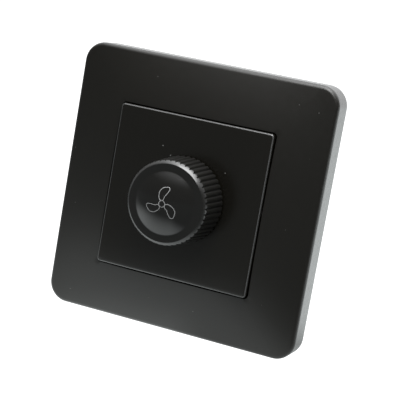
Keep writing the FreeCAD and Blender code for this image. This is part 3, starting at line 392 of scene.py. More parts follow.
@dataclass(frozen=True)
class Finish:
    """A finish of one material slot.

    The colour is linear. Shade and mottle are the shares by which colour and roughness vary, grain is the
    fineness of the pattern per metre, relief is its height in millimetres, and dust is the size of specks.
    Behind the dull depth in millimetres, the roughness is higher by the dulling. Between the two highlight
    depths, the colour is painted lighter up to the highlight lightness: a painted highlight along an edge.
    """

    slot: str
    colour: Colour
    roughness: float
    surface: Surface = Surface.MOULDED
    layer: str = "dressed"
    shade: float = 0.12
    mottle: float = 0.1
    grain: float = 2600.0
    relief: float = 0.01
    dust: float = 0.0
    dull_depth: float = 0.0
    dulling: float = 0.0
    highlight_depths: tuple[float, float] = (0.0, 0.0)
    highlight_lightness: float = 0.0
    ior: float = 1.5

    def material(self) -> bpy.types.Material:
        """The slot's material, built on first use."""
        name = f"{self.layer}_{self.slot}"
        if name in bpy.data.materials:
            return bpy.data.materials[name]
        material = bpy.data.materials.new(name)
        material.use_nodes = True
        tree = material.node_tree
        shader = tree.nodes["Principled BSDF"]
        shader.inputs["IOR"].default_value = self.ior
        shader.inputs["Metallic"].default_value = 1.0 if self.surface is Surface.MACHINED else 0.0
        place = tree.nodes.new("ShaderNodeTexCoord").outputs["Object"]
        pattern = tree.nodes.new("ShaderNodeGroup")
        moulded = self.surface is Surface.MOULDED
        pattern.node_tree = EffectGroups.grain() if moulded else EffectGroups.streaks()
        pattern.inputs["Scale"].default_value = self.grain
        tree.links.new(place, pattern.inputs["Vector"])
        # Painted highlight: a lighter band of colour between set depths, for the finishes that carry one.
        colour = self.paint_edge_highlight(tree, place, self.tone(tree, pattern))
        tree.links.new(self.specks(tree, place, colour), shader.inputs["Base Color"])
        gloss = tree.nodes.new("ShaderNodeMapRange")
        gloss.inputs["To Min"].default_value = self.roughness * (1 - self.mottle)
        gloss.inputs["To Max"].default_value = self.roughness * (1 + self.mottle)
        tree.links.new(pattern.outputs["Gloss"], gloss.inputs["Value"])
        roughness = self.dulled(tree, place, gloss.outputs["Result"])
        tree.links.new(roughness, shader.inputs["Roughness"])
        bump = tree.nodes.new("ShaderNodeBump")
        bump.inputs["Strength"].default_value = BUMP_STRENGTH
        bump.inputs["Distance"].default_value = self.relief * MM
        tree.links.new(pattern.outputs["Height"], bump.inputs["Height"])
        tree.links.new(bump.outputs["Normal"], shader.inputs["Normal"])
        return material

    def tone(self, tree: Tree, pattern: bpy.types.Node) -> Socket:
        """Mix two shades of the colour by the pattern's tone.

        Args:
            tree: The material's nodes.
            pattern: The grain or streak group in it.

        Returns:
            The socket of the mixed colour.
        """
        dark = tuple(part * (1 - self.shade) for part in self.colour)
        light = tuple(part * (1 + self.shade) for part in self.colour)
        return blend(tree, pattern.outputs["Tone"], dark, light)

    def dulled(self, tree: Tree, place: Socket, gloss: Socket) -> Socket:
        """Raise a roughness behind the dull depth.

        Args:
            tree: The material's nodes.
            place: The socket of the place on the object.
            gloss: The socket of the roughness in front.

        Returns:
            The socket of the roughness all over.
        """
        if not self.dulling:
            return gloss
        start = -self.dull_depth * MM
        rise = Fade((start, start + MM), (0.0, self.dulling))
        return calculate(tree, "ADD", gloss, rise.over(tree, separate(tree, place).outputs["Y"]))

    def paint_edge_highlight(self, tree: Tree, place: Socket, colour: Socket) -> Socket:
        """Paint a highlight: lighten a colour between the highlight depths, a line of light painted on an
        edge.

        Args:
            tree: The material's nodes.
            place: The socket of the place on the object.
            colour: The socket of the colour elsewhere.

        Returns:
            The socket of the colour all over.
        """
        if not self.highlight_lightness:
            return colour
        depth = separate(tree, place).outputs["Y"]
        first, last = (-edge * MM for edge in self.highlight_depths)
        soft = (last - first) / 4
        rise = Fade((first, first + soft), (0.0, 1.0)).over(tree, depth)
        fall = Fade((last - soft, last), (1.0, 0.0)).over(tree, depth)
        line = calculate(tree, "MULTIPLY", rise, fall)
        return blend(tree, line, colour, (self.highlight_lightness, self.highlight_lightness, self.highlight_lightness))

    def specks(self, tree: Tree, place: Socket, colour: Socket) -> Socket:
        """Lay specks of dust over a colour.

        Args:
            tree: The material's nodes.
            place: The socket of the place on the object.
            colour: The socket of the clean colour.

        Returns:
            The socket of the dusty colour.
        """
        if not self.dust:
            return colour
        dust = tree.nodes.new("ShaderNodeGroup")
        dust.node_tree = EffectGroups.dust()
        dust.inputs["Speck"].default_value = self.dust
        tree.links.new(place, dust.inputs["Vector"])
        return blend(tree, dust.outputs["Mask"], colour, DUST_COLOUR)


FRAME_BLACK = Finish("frame_black", (0.0042, 0.0036, 0.0021), 0.41, relief=0.006, dust=0.038)
# The insert's rounded edge carries a painted highlight: a lighter band of colour standing in for the light
# that the edge catches.
INSERT_BLACK = Finish(
    "insert_black", (0.005, 0.0044, 0.003), 0.24, relief=0.006, dust=0.06,
    highlight_depths=(12.57, 12.35), highlight_lightness=0.08
)
KNOB_BLACK = Finish(
    "knob_black", (0.0056, 0.0054, 0.0046), 0.14, relief=0.003, dull_depth=26.8, dulling=0.2, ior=1.62
)
PRINT_GREY = Finish("knob_black", (0.3, 0.3, 0.3), 0.5, layer="print")
FINISHES = (
    FRAME_BLACK,
    INSERT_BLACK,
    KNOB_BLACK,
    Finish("carrier_black", (0.013, 0.0133, 0.0136), 0.45, relief=0.02, grain=1800.0),
    Finish("housing_black", (0.01, 0.0103, 0.0106), 0.48, relief=0.025, grain=1600.0),
    Finish("zinc_steel", (0.4, 0.405, 0.415), 0.36, Surface.MACHINED),
    Finish("spring_steel", (0.4, 0.4, 0.42), 0.3, Surface.MACHINED),
    Finish("plated_steel", (0.66, 0.66, 0.67), 0.25, Surface.MACHINED),
    Finish("white_nylon", (0.8, 0.79, 0.76), 0.45),
    Finish("brass", (0.76, 0.6, 0.3), 0.28, Surface.MACHINED),
    Finish("phenolic", (0.3, 0.16, 0.08), 0.55),
    Finish("tinned_brass", (0.72, 0.7, 0.66), 0.35, Surface.MACHINED),
    Finish("board_green", (0.06, 0.25, 0.12), 0.4),
    Finish("aluminium", (0.75, 0.76, 0.77), 0.38, Surface.MACHINED),
    Finish("epoxy_black", (0.03, 0.03, 0.03), 0.5),
    Finish("capacitor_yellow", (0.8, 0.62, 0.12), 0.45),
    Finish("capacitor_red", (0.5, 0.09, 0.06), 0.4),
    Finish("ferrite", (0.1, 0.1, 0.11), 0.6),
    Finish("copper_wire", (0.7, 0.35, 0.15), 0.3, Surface.MACHINED),
    Finish("resistor_beige", (0.72, 0.6, 0.42), 0.45),
    Finish("diode_blue", (0.1, 0.2, 0.45), 0.35),
    Finish("terminal_grey", (0.35, 0.36, 0.37), 0.45),
)
BY_SLOT = {finish.slot: finish for finish in FINISHES}


@dataclass(frozen=True)
class Ring:
    """One section of a moulding in millimetres: a square with round corners, or a circle, at a depth."""

    half: float
    corner: float
    depth: float

    def add(self, level: float, segments: int, cuts: int) -> bpy.types.Object:
        """Add the section as a closed loop of edges.

        Args:
            level: Where it stands along the depth axis for now, in metres.
            segments: The segments of each round corner.
            cuts: The cuts in each straight side.

        Returns:
            The loop's object.
        """
        clear_selection()
        place = {"location": (0, level, 0), "rotation": (math.pi / 2, 0, 0)}
        if self.corner >= self.half:
            count = 4 * (segments + 1 + cuts)
            bpy.ops.mesh.primitive_circle_add(vertices=count, radius=self.half * MM, **place)
        else:
            bpy.ops.mesh.primitive_plane_add(size=2 * self.half * MM, **place)
        loop = bpy.context.object
        bpy.ops.object.transform_apply(location=True, rotation=True, scale=True)
        edit(loop)
        if self.corner < self.half:
            bpy.ops.mesh.bevel(offset=self.corner * MM, segments=segments, affect="VERTICES")
            bpy.ops.mesh.select_all(action="SELECT")
            bpy.ops.mesh.delete(type="ONLY_FACE")
            if cuts:
                mesh = edit(loop, everything=False)
                for side in mesh.edges:
                    side.select = side.calc_length() > self.half * MM
                bmesh.update_edit_mesh(loop.data)
                bpy.ops.mesh.select_mode(type="EDGE")
                bpy.ops.mesh.subdivide(number_cuts=cuts)
        bpy.ops.object.mode_set(mode="OBJECT")
        return loop


def loft(name: str, rings: Sequence[Ring], segments: int, cuts: int = 0) -> bpy.types.Object:
    """Bridge sections in order, and the last back to the first, into one closed wall.

    Args:
        name: The name of the piece.
        rings: The sections in order.
        segments: The segments of each round corner.
        cuts: The cuts in each straight side.

    Returns:
        The piece.
    """
    levels = [STACK_START + STACK_STEP * index for index in range(len(rings))]
    piece = join_pieces(name, [ring.add(level, segments, cuts) for ring, level in zip(rings, levels)])
    edit(piece, everything=False)
    for first, second in zip(levels, [*levels[1:], levels[0]]):
        pick(piece, lambda point: min(abs(point.y - first), abs(point.y - second)) < TOUCH)
        bpy.ops.mesh.bridge_edge_loops()
    for ring, level in zip(rings, levels):
        pick(piece, lambda point: abs(point.y - level) < TOUCH)
        bpy.ops.transform.translate(value=(0, -ring.depth * MM - level, 0))
    bpy.ops.object.mode_set(mode="OBJECT")
    return piece


def block(name: str, low: Sequence[float], high: Sequence[float]) -> bpy.types.Object:
    """Add a block between two corners given in millimetres.

    Args:
        name: Its name.
        low: The lowest corner.
        high: The highest corner.

    Returns:
        The block.
    """
    clear_selection()
    centre = [(a + b) / 2 * MM for a, b in zip(low, high)]
    bpy.ops.mesh.primitive_cube_add(size=1, location=centre)
    cube = bpy.context.object
    cube.scale = [(b - a) * MM for a, b in zip(low, high)]
    bpy.ops.object.transform_apply(location=True, rotation=True, scale=True)
    cube.name = name
    return cube


@dataclass
class FrameCover:
    """The outer frame: a crowned square with a rounded edge, hollow behind, sizes in millimetres."""

    half: float = 43.0
    corner: float = 6.5
    wall: float = 2.0
    edge_depth: float = 8.85
    crown: float = 4.2
    crown_power: float = 2.6
    crown_steps: int = 10
    edge_round: float = 1.3
    edge_steps: int = 8
    roof_depth: float = 8.4
    opening: float = 26.1
    opening_corner: float = 1.3
    opening_round: float = 0.25
    lip_steps: int = 3
    lip_wall: float = 1.4
    lip_depth: float = 6.8
    notch_half: float = 6.0
    notch_depth: float = 1.4
    notch_spare: float = 0.2
    corner_segments: int = 14
    side_cuts: int = 15

    def swell(self, point: Vector) -> float:
        """The share of the crown's full height over a point in metres, nothing behind the front."""
        if -point.y < self.roof_depth * MM + TOUCH:
            return 0.0
        across, up = (min(abs(side) / MM / self.half, 1.0) for side in (point.x, point.z))
        return (1 - across ** self.crown_power) * (1 - up ** self.crown_power)

    def front_rings(self) -> list[Ring]:
        """The sections of the flat front, from the opening out to the edge and round it."""
        lip = self.opening_round
        rings = []
        for step in range(self.lip_steps):
            angle = math.pi / 2 * step / self.lip_steps
            out = lip * (1 - math.cos(angle))
            depth = self.edge_depth - lip * (1 - math.sin(angle))
            rings.append(Ring(self.opening + out, self.opening_corner + out, depth))
        first, last = self.opening + lip, self.half - self.edge_round
        for step in range(self.crown_steps + 1):
            share = step / self.crown_steps
            half = first + (last - first) * share
            bend = self.corner - self.edge_round - self.opening_corner - lip
            rings.append(Ring(half, self.opening_corner + lip + bend * share, self.edge_depth))
        for step in range(1, self.edge_steps + 1):
            angle = math.pi / 2 * (1 - step / self.edge_steps)
            inset = self.edge_round * (1 - math.cos(angle))
            depth = self.edge_depth - self.edge_round * (1 - math.sin(angle))
            rings.append(Ring(self.half - inset, self.corner - inset, depth))
        return rings

    def raise_crown(self, piece: bpy.types.Object) -> None:
        """Swell the flat front into a cushion.

        Args:
            piece: The frame with a flat front.
        """
        group = piece.vertex_groups.new(name="crown")
        for point in piece.data.vertices:
            group.add([point.index], self.swell(point.co), "REPLACE")
        take_up(piece)
        bpy.ops.object.modifier_add(type="DISPLACE")
        swell = piece.modifiers[-1]
        swell.direction = "Y"
        swell.mid_level = 0.0
        swell.strength = -self.crown * MM
        swell.vertex_group = group.name
        bpy.ops.object.modifier_apply(modifier=swell.name)

    def build(self) -> bpy.types.Object:
        """Loft the frame and cut the prying notch.

        Returns:
            The frame.
        """
        inside = self.half - self.wall
        lip = self.opening + self.lip_wall
        rings = [
            Ring(self.half, self.corner, 0.0),
            Ring(inside, self.corner - self.wall, 0.0),
            Ring(inside, self.corner - self.wall, self.roof_depth),
            Ring(lip, self.opening_corner + self.lip_wall, self.roof_depth),
            Ring(lip, self.opening_corner + self.lip_wall, self.lip_depth),
            Ring(self.opening, self.opening_corner, self.lip_depth),
            *self.front_rings(),
        ]
        piece = loft("outer_frame", rings, self.corner_segments, self.side_cuts)
        self.raise_crown(piece)
        notch = block("notch_tool", (-self.notch_half, -self.notch_depth, -self.half - self.wall),
                      (self.notch_half, self.wall, self.wall - self.half + self.notch_spare))
        boolean(piece, notch, "DIFFERENCE")
        return settle(piece)

    def dress(self) -> None:
        """Build the frame and set it in place of its CAD node."""
        hand_over(self.build(), Body.BASE, FRAME_BLACK, "frame_plate")


@dataclass
class InsertFace:
    """The square insert: a tray with a softly rounded edge and a hole for the neck, in millimetres."""

    half: float = 25.8
    corner: float = 1.1
    front: float = 12.6
    wall: float = 2.0
    skirt_wall: float = 1.6
    foot: float = 2.4
    edge_round: float = 0.7
    edge_steps: int = 5
    hole: float = 4.15
    inside_corner: float = 0.4
    corner_segments: int = 10

    def build(self) -> bpy.types.Object:
        """Loft the tray.

        Returns:
            The insert.
        """
        inside = self.half - self.skirt_wall
        back = self.front - self.wall
        rings = [
            Ring(inside, self.inside_corner, self.foot),
            Ring(inside, self.inside_corner, back),
            Ring(self.hole, self.hole, back),
            Ring(self.hole, self.hole, self.front),
            Ring(self.half - 2 * self.edge_round, self.corner, self.front),
        ]
        for step in range(self.edge_steps + 1):
            angle = math.pi / 2 * (1 - step / self.edge_steps)
            inset = self.edge_round * (1 - math.cos(angle))
            depth = self.front - self.edge_round * (1 - math.sin(angle))
            rings.append(Ring(self.half - inset, self.corner - inset, depth))
        rings.append(Ring(self.half, self.corner, self.foot))
        return settle(loft("insert_face", rings, self.corner_segments))

    def dress(self) -> None:
        """Build the insert and set it in place of its CAD node."""
        hand_over(self.build(), Body.BASE, INSERT_BLACK, "insert_panel")


@dataclass
class Knob:
    """The knurled knob with its domed cap, in millimetres."""

    base_radius: float = 13.75
    top_radius: float = 13.2
    base_depth: float = 13.4
    shoulder_depth: float = 24.9
    rim_depth: float = 26.4
    flat_radius: float = 12.05
    bevel_round: float = 4.2
    bevel_lean: tuple[float, float] = (38.0, 55.0)
    shoulder_round: float = 2.05
    shoulder_lean: tuple[float, float] = (60.0, 86.0)
    rim_steps: int = 4
    dome_radius: float = 9.75
    dome_rise: float = 2.6
    dome_steps: int = 14
    dome_foot: float = 1.0
    foot_steps: int = 4
    inside_radius: float = 11.5
    roof_depth: float = 24.4
    boss_radius: float = 4.9
    boss_end: float = 16.9
    bore_radius: float = 3.05
    bore_end: float = 24.2
    flutes: int = 48
    flute_wave: tuple[float, ...] = (0.0, 0.0, 0.07, 0.3, 0.5, 0.3, 0.07, 0.0)
    flute_runout: tuple[float, float] = (25.6, 28.1)
    turn_steps: int = 192
    base_chamfer: float = 0.35
    spare: float = 0.3
    overrun: float = 1.0
    crease: float = 28.0

    @property
    def ball(self) -> float:
        """The radius of the dome's sphere."""
        return (self.dome_radius ** 2 + self.dome_rise ** 2) / (2 * self.dome_rise)

    def profile(self) -> list[tuple[float, float]]:
        """The turned outline, as radius and depth, from the apex out and back inside to the axis."""
        reach = self.ball + self.dome_foot
        foot_radius = math.sqrt(2 * reach * self.dome_rise - self.dome_rise ** 2)
        lean = math.asin(foot_radius / reach)
        centre = self.rim_depth + self.dome_rise - self.ball
        dome = []
        for step in range(self.dome_steps + 1):
            angle = lean * step / self.dome_steps
            dome.append((self.ball * math.sin(angle), centre + self.ball * math.cos(angle)))
        for step in range(1, self.foot_steps + 1):
            angle = lean * (1 - step / self.foot_steps)
            dome.append((foot_radius - self.dome_foot * math.sin(angle),
                         self.rim_depth + self.dome_foot * (1 - math.cos(angle))))
        outside = [(self.flat_radius, self.rim_depth)]
        for bend, leans in ((self.bevel_round, self.bevel_lean), (self.shoulder_round, self.shoulder_lean)):
            first, last = (math.radians(angle) for angle in leans)
            radius, depth = outside[-1]
            for step in range(1, self.rim_steps + 1):
                angle = first + (last - first) * step / self.rim_steps
                outside.append((radius + bend * (math.sin(angle) - math.sin(first)),
                                depth - bend * (math.cos(first) - math.cos(angle))))
        outside += [
            (self.top_radius + self.spare, self.shoulder_depth - self.spare),
            (self.base_radius + self.spare, self.base_depth + self.base_chamfer),
            (self.base_radius - self.base_chamfer, self.base_depth),
        ]
        inside = [
            (self.inside_radius, self.base_depth),
            (self.inside_radius, self.roof_depth),
            (self.boss_radius, self.roof_depth),
            (self.boss_radius, self.boss_end),
            (self.bore_radius, self.boss_end),
            (self.bore_radius, self.bore_end),
            (0.0, self.bore_end),
        ]
        return dome + outside + inside

    def turned(self) -> bpy.types.Object:
        """Turn the outline about the knob's axis.

        Returns:
            The turned body.
        """
        clear_selection()
        bpy.ops.mesh.primitive_plane_add(size=MM)
        piece = bpy.context.object
        edit(piece)
        bpy.ops.mesh.merge(type="CENTER")
        points = [Vector((radius * MM, -depth * MM, 0)) for radius, depth in self.profile()]
        bpy.ops.transform.translate(value=points[0])
        for start, end in zip(points, points[1:]):
            bpy.ops.mesh.extrude_region_move(TRANSFORM_OT_translate={"value": end - start})
        bpy.ops.mesh.select_all(action="SELECT")
        bpy.ops.mesh.spin(steps=self.turn_steps, angle=math.tau, center=(0, 0, 0), axis=(0, 1, 0))
        bpy.ops.mesh.select_all(action="SELECT")
        bpy.ops.mesh.remove_doubles(threshold=TOUCH)
        bpy.ops.mesh.normals_make_consistent(inside=False)
        bpy.ops.object.mode_set(mode="OBJECT")
        return piece

    def fluted(self) -> bpy.types.Object:
        """A drafted prism with the knurled outline, longer than the knob at both ends.

        Returns:
            The prism.
        """
        draft = (self.base_radius - self.top_radius) / (self.shoulder_depth - self.base_depth)
        start = self.base_depth - self.overrun
        wide = self.base_radius + draft * self.overrun
        count = self.flutes * len(self.flute_wave)
        clear_selection()
        bpy.ops.mesh.primitive_circle_add(
            vertices=count, radius=wide * MM, location=(0, -start * MM, 0), rotation=(math.pi / 2, 0, 0)
        )
        prism = bpy.context.object
        bpy.ops.object.transform_apply(location=True, rotation=True, scale=True)
        edit(prism, everything=False)
        self.scale_waves(prism, start, [(wide - cut) / wide for cut in self.flute_wave])
        bpy.ops.mesh.select_all(action="SELECT")
        bpy.ops.mesh.edge_face_add()
        deep, shallow = self.flute_runout
        for depth in (deep, shallow, self.rim_depth + self.dome_rise):
            length = depth - start
            bpy.ops.mesh.extrude_region_move(TRANSFORM_OT_translate={"value": (0, -length * MM, 0)})
            taper = (wide - draft * length) / wide
            bpy.ops.transform.resize(value=(taper, 1, taper))
            start, wide = depth, wide * taper
            if depth == shallow:
                self.scale_waves(prism, start, [wide / (wide - cut) for cut in self.flute_wave])
                pick(prism, lambda point: abs(point.y + start * MM) < TOUCH)
        bpy.ops.mesh.select_all(action="SELECT")
        bpy.ops.mesh.normals_make_consistent(inside=False)
        bpy.ops.object.mode_set(mode="OBJECT")
        return prism

    def scale_waves(self, prism: bpy.types.Object, depth: float, shares: Sequence[float]) -> None:
        """Move the points of each flute in or out at one depth.

        Args:
            prism: The prism under edit.
            depth: The depth of the points.
            shares: The factor for each point of a flute, in order.
        """
        turn = math.tau / self.flutes / len(shares)
        for step, share in enumerate(shares):
            if abs(share - 1) < TOUCH:
                continue

            def wanted(point: Vector) -> bool:
                """Whether a point is this step of its flute."""
                place = round(math.atan2(point.x, point.z) / turn)
                return abs(point.y + depth * MM) < TOUCH and place % len(shares) == step

            pick(prism, wanted)
            bpy.ops.transform.resize(value=(share, 1, share))

    def build(self) -> bpy.types.Object:
        """Turn the knob, then bound it by the knurled prism.

        Returns:
            The knob.
        """
        piece = self.turned()
        boolean(piece, self.fluted(), "INTERSECT")
        piece.name = "knurled_knob"
        return settle(piece, self.crease)

    def dress(self, piece: bpy.types.Object) -> None:
        """Set the finished knob in place of its CAD node."""
        hand_over(piece, Body.KNOB, KNOB_BLACK, "knob")


@dataclass
class FanSymbol:
    """The printed fan on the dome: three blades in outline round a hub, in millimetres and degrees."""

    knob: Knob
    line: float = 0.2
    hub: float = 1.08
    lift: float = 0.012
    thickness: float = 0.02
    stand_off: float = 1.0
    hub_step: int = 45
    curve_steps: int = 8
    blades: int = 3
    blade: tuple[tuple[float, float], ...] = (
        (1.13, 125.5), (3.26, 118.5), (4.27, 107.5), (4.91, 97.5), (5.26, 87),
        (5.47, 76.5), (5.11, 70.5), (3.84, 69.5), (2.47, 75.5), (1.16, 79.5),
    )

    def outline(self, points: Sequence[tuple[float, float]]) -> bpy.types.Object:
        """A flat filled shape with a smooth outline through points given as radius and angle.

        Args:
            points: The outline's points.

        Returns:
            The shape as a mesh, upright and facing the room.
        """
        curve = bpy.data.curves.new("symbol_outline", "CURVE")
        curve.dimensions = "2D"
        curve.fill_mode = "BOTH"
        curve.resolution_u = self.curve_steps
        spline = curve.splines.new("BEZIER")
        spline.bezier_points.add(len(points) - 1)
        spline.use_cyclic_u = True
        for knot, (radius, angle) in zip(spline.bezier_points, points):
            turn = math.radians(angle)
            knot.co = (radius * MM * math.cos(turn), radius * MM * math.sin(turn), 0)
            knot.handle_left_type = knot.handle_right_type = "AUTO"
        shape = bpy.data.objects.new("symbol_outline", curve)
        bpy.context.scene.collection.objects.link(shape)
        shape.rotation_euler = (math.pi / 2, 0, 0)
        shape.location = (0, -(self.knob.rim_depth + self.knob.dome_rise + self.stand_off) * MM, 0)
        take_up(shape)
        bpy.ops.object.convert(target="MESH")
        bpy.ops.object.transform_apply(location=True, rotation=True, scale=True)
        return bpy.context.object

    def stroke(self, points: Sequence[tuple[float, float]]) -> bpy.types.Object:
        """A line of even width along an outline.

        Args:
            points: The outline's points.

        Returns:
            The flat line.
        """
        shape = self.outline(points)
        edit(shape)
        bpy.ops.mesh.remove_doubles(threshold=TOUCH)
        bpy.ops.mesh.select_all(action="SELECT")
        bpy.ops.mesh.dissolve_faces()
        bpy.ops.mesh.select_all(action="SELECT")
        bpy.ops.mesh.inset(thickness=self.line * MM)
        bpy.ops.mesh.delete(type="FACE")
        bpy.ops.object.mode_set(mode="OBJECT")
        return shape

    def build(self, dome: bpy.types.Object) -> bpy.types.Object:
        """Draw the strokes and lay them on the dome.

        Args:
            dome: The piece that carries the print.

        Returns:
            The symbol.
        """
        parts = [self.stroke([(self.hub, angle) for angle in range(0, 360, self.hub_step)])]
        for index in range(self.blades):
            turn = index * 360 / self.blades
            parts.append(self.stroke([(radius, angle + turn) for radius, angle in self.blade]))
        piece = join_pieces("fan_symbol", parts)
        take_up(piece)
        bpy.ops.object.modifier_add(type="SHRINKWRAP")
        wrap = piece.modifiers[-1]
        wrap.target = dome
        wrap.wrap_method = "PROJECT"
        wrap.use_project_y = True
        wrap.use_positive_direction = True
        wrap.use_negative_direction = False
        wrap.offset = self.lift * MM
        bpy.ops.object.modifier_apply(modifier=wrap.name)
        bpy.ops.object.modifier_add(type="SOLIDIFY")
        piece.modifiers[-1].thickness = self.thickness * MM
        bpy.ops.object.modifier_apply(modifier=piece.modifiers[-1].name)
        return piece

    def dress(self, piece: bpy.types.Object) -> None:
        """Set the finished symbol on the knob."""
        hand_over(piece, Body.KNOB, PRINT_GREY)


@dataclass
class SoftenedMoulding:
    """A moulding that keeps its CAD form and gets the small edge radii of the real one."""

    node: str
    name: str
    edge: float = 0.25
    crease: float = 40.0
    flat_angle: float = 1.0
    segments: int = 2

    def build(self) -> bpy.types.Object:
        """Copy the node's mesh, merge it and round its sharp edges.

        Returns:
            The moulding.
        """
        source = frame["nodes"][self.node]
        piece = bpy.data.objects.new(self.name, source.data.copy())
        bpy.context.scene.collection.objects.link(piece)
        edit(piece)
        bpy.ops.mesh.remove_doubles(threshold=TOUCH)
        bpy.ops.mesh.dissolve_limited(angle_limit=math.radians(self.flat_angle))
        bpy.ops.object.mode_set(mode="OBJECT")
        bpy.ops.object.modifier_add(type="BEVEL")
        bevel = piece.modifiers[-1]
        bevel.width = self.edge * MM
        bevel.segments = self.segments
        bevel.limit_method = "ANGLE"
        bevel.angle_limit = math.radians(self.crease)
        bpy.ops.object.modifier_apply(modifier=bevel.name)
        smooth(piece, self.crease)
        return piece

    def dress(self, finish: Finish) -> None:
        """Build the moulding and set it in place of its CAD node."""
        hand_over(self.build(), Body.BASE, finish, self.node)


@dataclass
class Studio:
    """The floor, the lights and the camera, in millimetres and degrees.

    The fades of the floor run over its metres, and those of the room over the direction. The floor's pool of
    light lies before the object and ends on a slant at the right.
    """

    lens: float = 120.717
    sensor: float = 36.0
    azimuth: float = 20.645
    elevation: float = 9.023
    roll: float = -9.933
    shift_across: float = 0.719
    shift_down: float = 1.238
    distance: float = 429.4
    floor_level: float = -43.6
    floor_side: float = 3000.0
    front_light: float = 0.2
    slant: float = 1.1
    slant_width: float = 0.05
    pool: Fade = Fade((-0.1, -0.04), (0.0, 1.05))
    pool_left: Fade = Fade((-0.16, -0.06), (0.1, 1.0))
    beside: Fade = Fade((-0.03, 0.0), (0.0, 0.9))
    behind: Fade = Fade((0.0, 0.05), (0.0, 0.7))
    behind_left: Fade = Fade((-0.09, -0.02), (0.0, 1.0))
    left_patch: Fade = Fade((-0.06, -0.03), (0.15, 0.0))
    patch_start: Fade = Fade((-0.085, -0.055), (0.0, 1.0))
    patch_end: Fade = Fade((-0.045, -0.015), (1.0, 0.0))
    room_behind: Fade = Fade((-0.25, 0.3), (0.0, 2.65))
    room_sides: Fade = Fade((0.6, 0.98), (1.0, 0.15))
    ceiling: Fade = Fade((0.4, 1.1), (0.0, 2.4))
    zenith: Fade = Fade((0.8, 1.0), (0.0, 5.0))
    key_spot: tuple[float, float, float] = (40.0, -90.0, 165.0)
    key_size: float = 116.0
    key_power: float = 0.38
    white: float = 1.4
    floor_tint: Colour = (0.95, 1.0, 1.0)
    room_tint: Colour = (0.79, 0.8, 0.81)

    def camera(self) -> None:
        """Set the camera where the photograph was taken from."""
        az, el, roll = (math.radians(angle) for angle in (self.azimuth, self.elevation, self.roll))
        back = Vector((math.sin(az) * math.cos(el), -math.cos(az) * math.cos(el), math.sin(el)))
        level = (-back).cross(Vector((0, 0, 1))).normalized()
        down = (-back).cross(level)
        across = math.cos(roll) * level + math.sin(roll) * down
        below = -math.sin(roll) * level + math.cos(roll) * down
        data = bpy.data.cameras.new("photo_camera")
        data.lens = self.lens
        data.sensor_width = self.sensor
        camera = bpy.data.objects.new("photo_camera", data)
        bpy.context.scene.collection.objects.link(camera)
        turn = Matrix((across, -below, back)).transposed().to_4x4()
        spot = self.shift_across * across + self.shift_down * below + self.distance * back
        camera.matrix_world = Matrix.Translation(spot * MM) @ turn
        bpy.context.scene.camera = camera

    def floor(self) -> None:
        """A pale floor, bright behind the object and fading in front of it and to both sides there."""
        clear_selection()
        bpy.ops.mesh.primitive_plane_add(size=self.floor_side * MM, location=(0, 0, self.floor_level * MM))
        floor = bpy.context.object
        floor.name = "studio_floor"
        material = bpy.data.materials.new("studio_floor")
        material.use_nodes = True
        tree = material.node_tree
        tree.nodes.clear()
        place = separate(tree, tree.nodes.new("ShaderNodeTexCoord").outputs["Object"])
        across, along = place.outputs["X"], place.outputs["Y"]
        right = calculate(tree, "MINIMUM", calculate(tree, "MAXIMUM", across, 0.0), self.slant_width)
        reach = calculate(tree, "SUBTRACT", along, calculate(tree, "MULTIPLY", right, self.slant))
        pool = calculate(tree, "MULTIPLY", self.pool.over(tree, reach), self.pool_left.over(tree, across))
        far = calculate(tree, "ADD", self.beside.over(tree, reach), self.behind.over(tree, along))
        far = calculate(tree, "MULTIPLY", far, self.behind_left.over(tree, across))
        patch = self.left_patch.over(tree, across)
        for side in (self.patch_start, self.patch_end):
            patch = calculate(tree, "MULTIPLY", patch, side.over(tree, along))
        glow = calculate(tree, "ADD", pool, self.front_light)
        for light in (far, patch):
            glow = calculate(tree, "ADD", glow, light)
        end = tree.nodes.new("ShaderNodeOutputMaterial")
        shine = self.white_to_camera(tree, "ShaderNodeEmission", glow, self.floor_tint)
        tree.links.new(shine, end.inputs["Surface"])
        floor.data.materials.append(material)

    def white_to_camera(self, tree: Tree, kind: str, glow: Socket, tint: Colour) -> Socket:
        """Shine with a given strength on the object and plain white to the camera.

        Args:
            tree: The nodes to add to.
            kind: The kind of shader that shines.
            glow: The socket of the strength.
            tint: The colour of the light on the object.

        Returns:
            The shader's socket.
        """
        lit, white = tree.nodes.new(kind), tree.nodes.new(kind)
        white.inputs["Strength"].default_value = self.white
        tree.links.new(glow, lit.inputs["Strength"])
        lit.inputs["Color"].default_value = (*tint, 1)
        path = tree.nodes.new("ShaderNodeLightPath")
        choose = tree.nodes.new("ShaderNodeMixShader")
        tree.links.new(path.outputs["Is Camera Ray"], choose.inputs[0])
        tree.links.new(lit.outputs[0], choose.inputs[1])
        tree.links.new(white.outputs[0], choose.inputs[2])
        return choose.outputs[0]

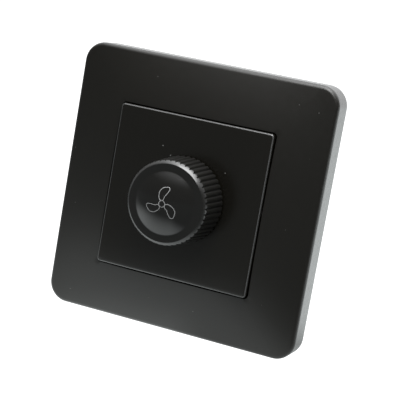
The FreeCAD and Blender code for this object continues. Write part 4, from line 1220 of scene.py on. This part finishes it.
    def surround(self) -> None:
        """A white room behind the object, a bright ceiling and a dim room on the camera's side."""
        world = bpy.data.worlds.new("studio")
        bpy.context.scene.world = world
        world.use_nodes = True
        tree = world.node_tree
        tree.nodes.clear()
        way = separate(tree, tree.nodes.new("ShaderNodeTexCoord").outputs["Generated"])
        aside = calculate(tree, "ABSOLUTE", way.outputs["X"], 0.0)
        behind = self.room_behind.over(tree, way.outputs["Y"])
        behind = calculate(tree, "MULTIPLY", behind, self.room_sides.over(tree, aside))
        above = self.ceiling.over(tree, way.outputs["Z"])
        glow = calculate(tree, "ADD", calculate(tree, "MAXIMUM", behind, above), self.front_light)
        glow = calculate(tree, "ADD", glow, self.zenith.over(tree, way.outputs["Z"]))
        end = tree.nodes.new("ShaderNodeOutputWorld")
        shine = self.white_to_camera(tree, "ShaderNodeBackground", glow, self.room_tint)
        tree.links.new(shine, end.inputs["Surface"])

    def softbox(self) -> None:
        """The square key light, aimed at the knob."""
        data = bpy.data.lights.new("key_softbox", "AREA")
        data.size = self.key_size * MM
        data.energy = self.key_power
        light = bpy.data.objects.new("key_softbox", data)
        bpy.context.scene.collection.objects.link(light)
        spot = Vector(self.key_spot)
        light.location = spot * MM
        light.rotation_mode = "QUATERNION"
        light.rotation_quaternion = (-spot).to_track_quat("-Z", "Y")

    def build(self) -> None:
        """Set up the whole studio."""
        self.floor()
        self.surround()
        self.softbox()
        self.camera()
        scene = bpy.context.scene
        scene.view_settings.view_transform = "Standard"
        scene.view_settings.look = "None"


def dress_nodes() -> None:
    """Give every CAD node that stays shown the procedural finish of its own slot."""
    for row in frame["record"]["subparts"]:
        node = frame["nodes"][row["node"]]
        finish = BY_SLOT[row["material_slot"]]
        if not node.material_slots:
            node.data.materials.append(finish.material())
        for slot in node.material_slots:
            slot.material = finish.material()
        LOG.info("%s: dressed as %s", row["node"], finish.slot)


def main() -> None:
    """Build every piece, dress the rest and set up the studio."""
    logging.basicConfig(level=logging.INFO, format="%(name)s %(message)s")
    dress_nodes()
    FrameCover().dress()
    InsertFace().dress()
    knob = Knob()
    cap = knob.build()
    symbol = FanSymbol(knob)
    printed = symbol.build(cap)
    knob.dress(cap)
    symbol.dress(printed)
    SoftenedMoulding("mounting_frame", "wall_carrier").dress(BY_SLOT["carrier_black"])
    SoftenedMoulding("rear_housing", "vented_housing").dress(BY_SLOT["housing_black"])
    SoftenedMoulding("terminal_block", "wire_terminal", 0.2).dress(BY_SLOT["terminal_grey"])
    Studio().build()


if __name__ == "__main__":
    main()
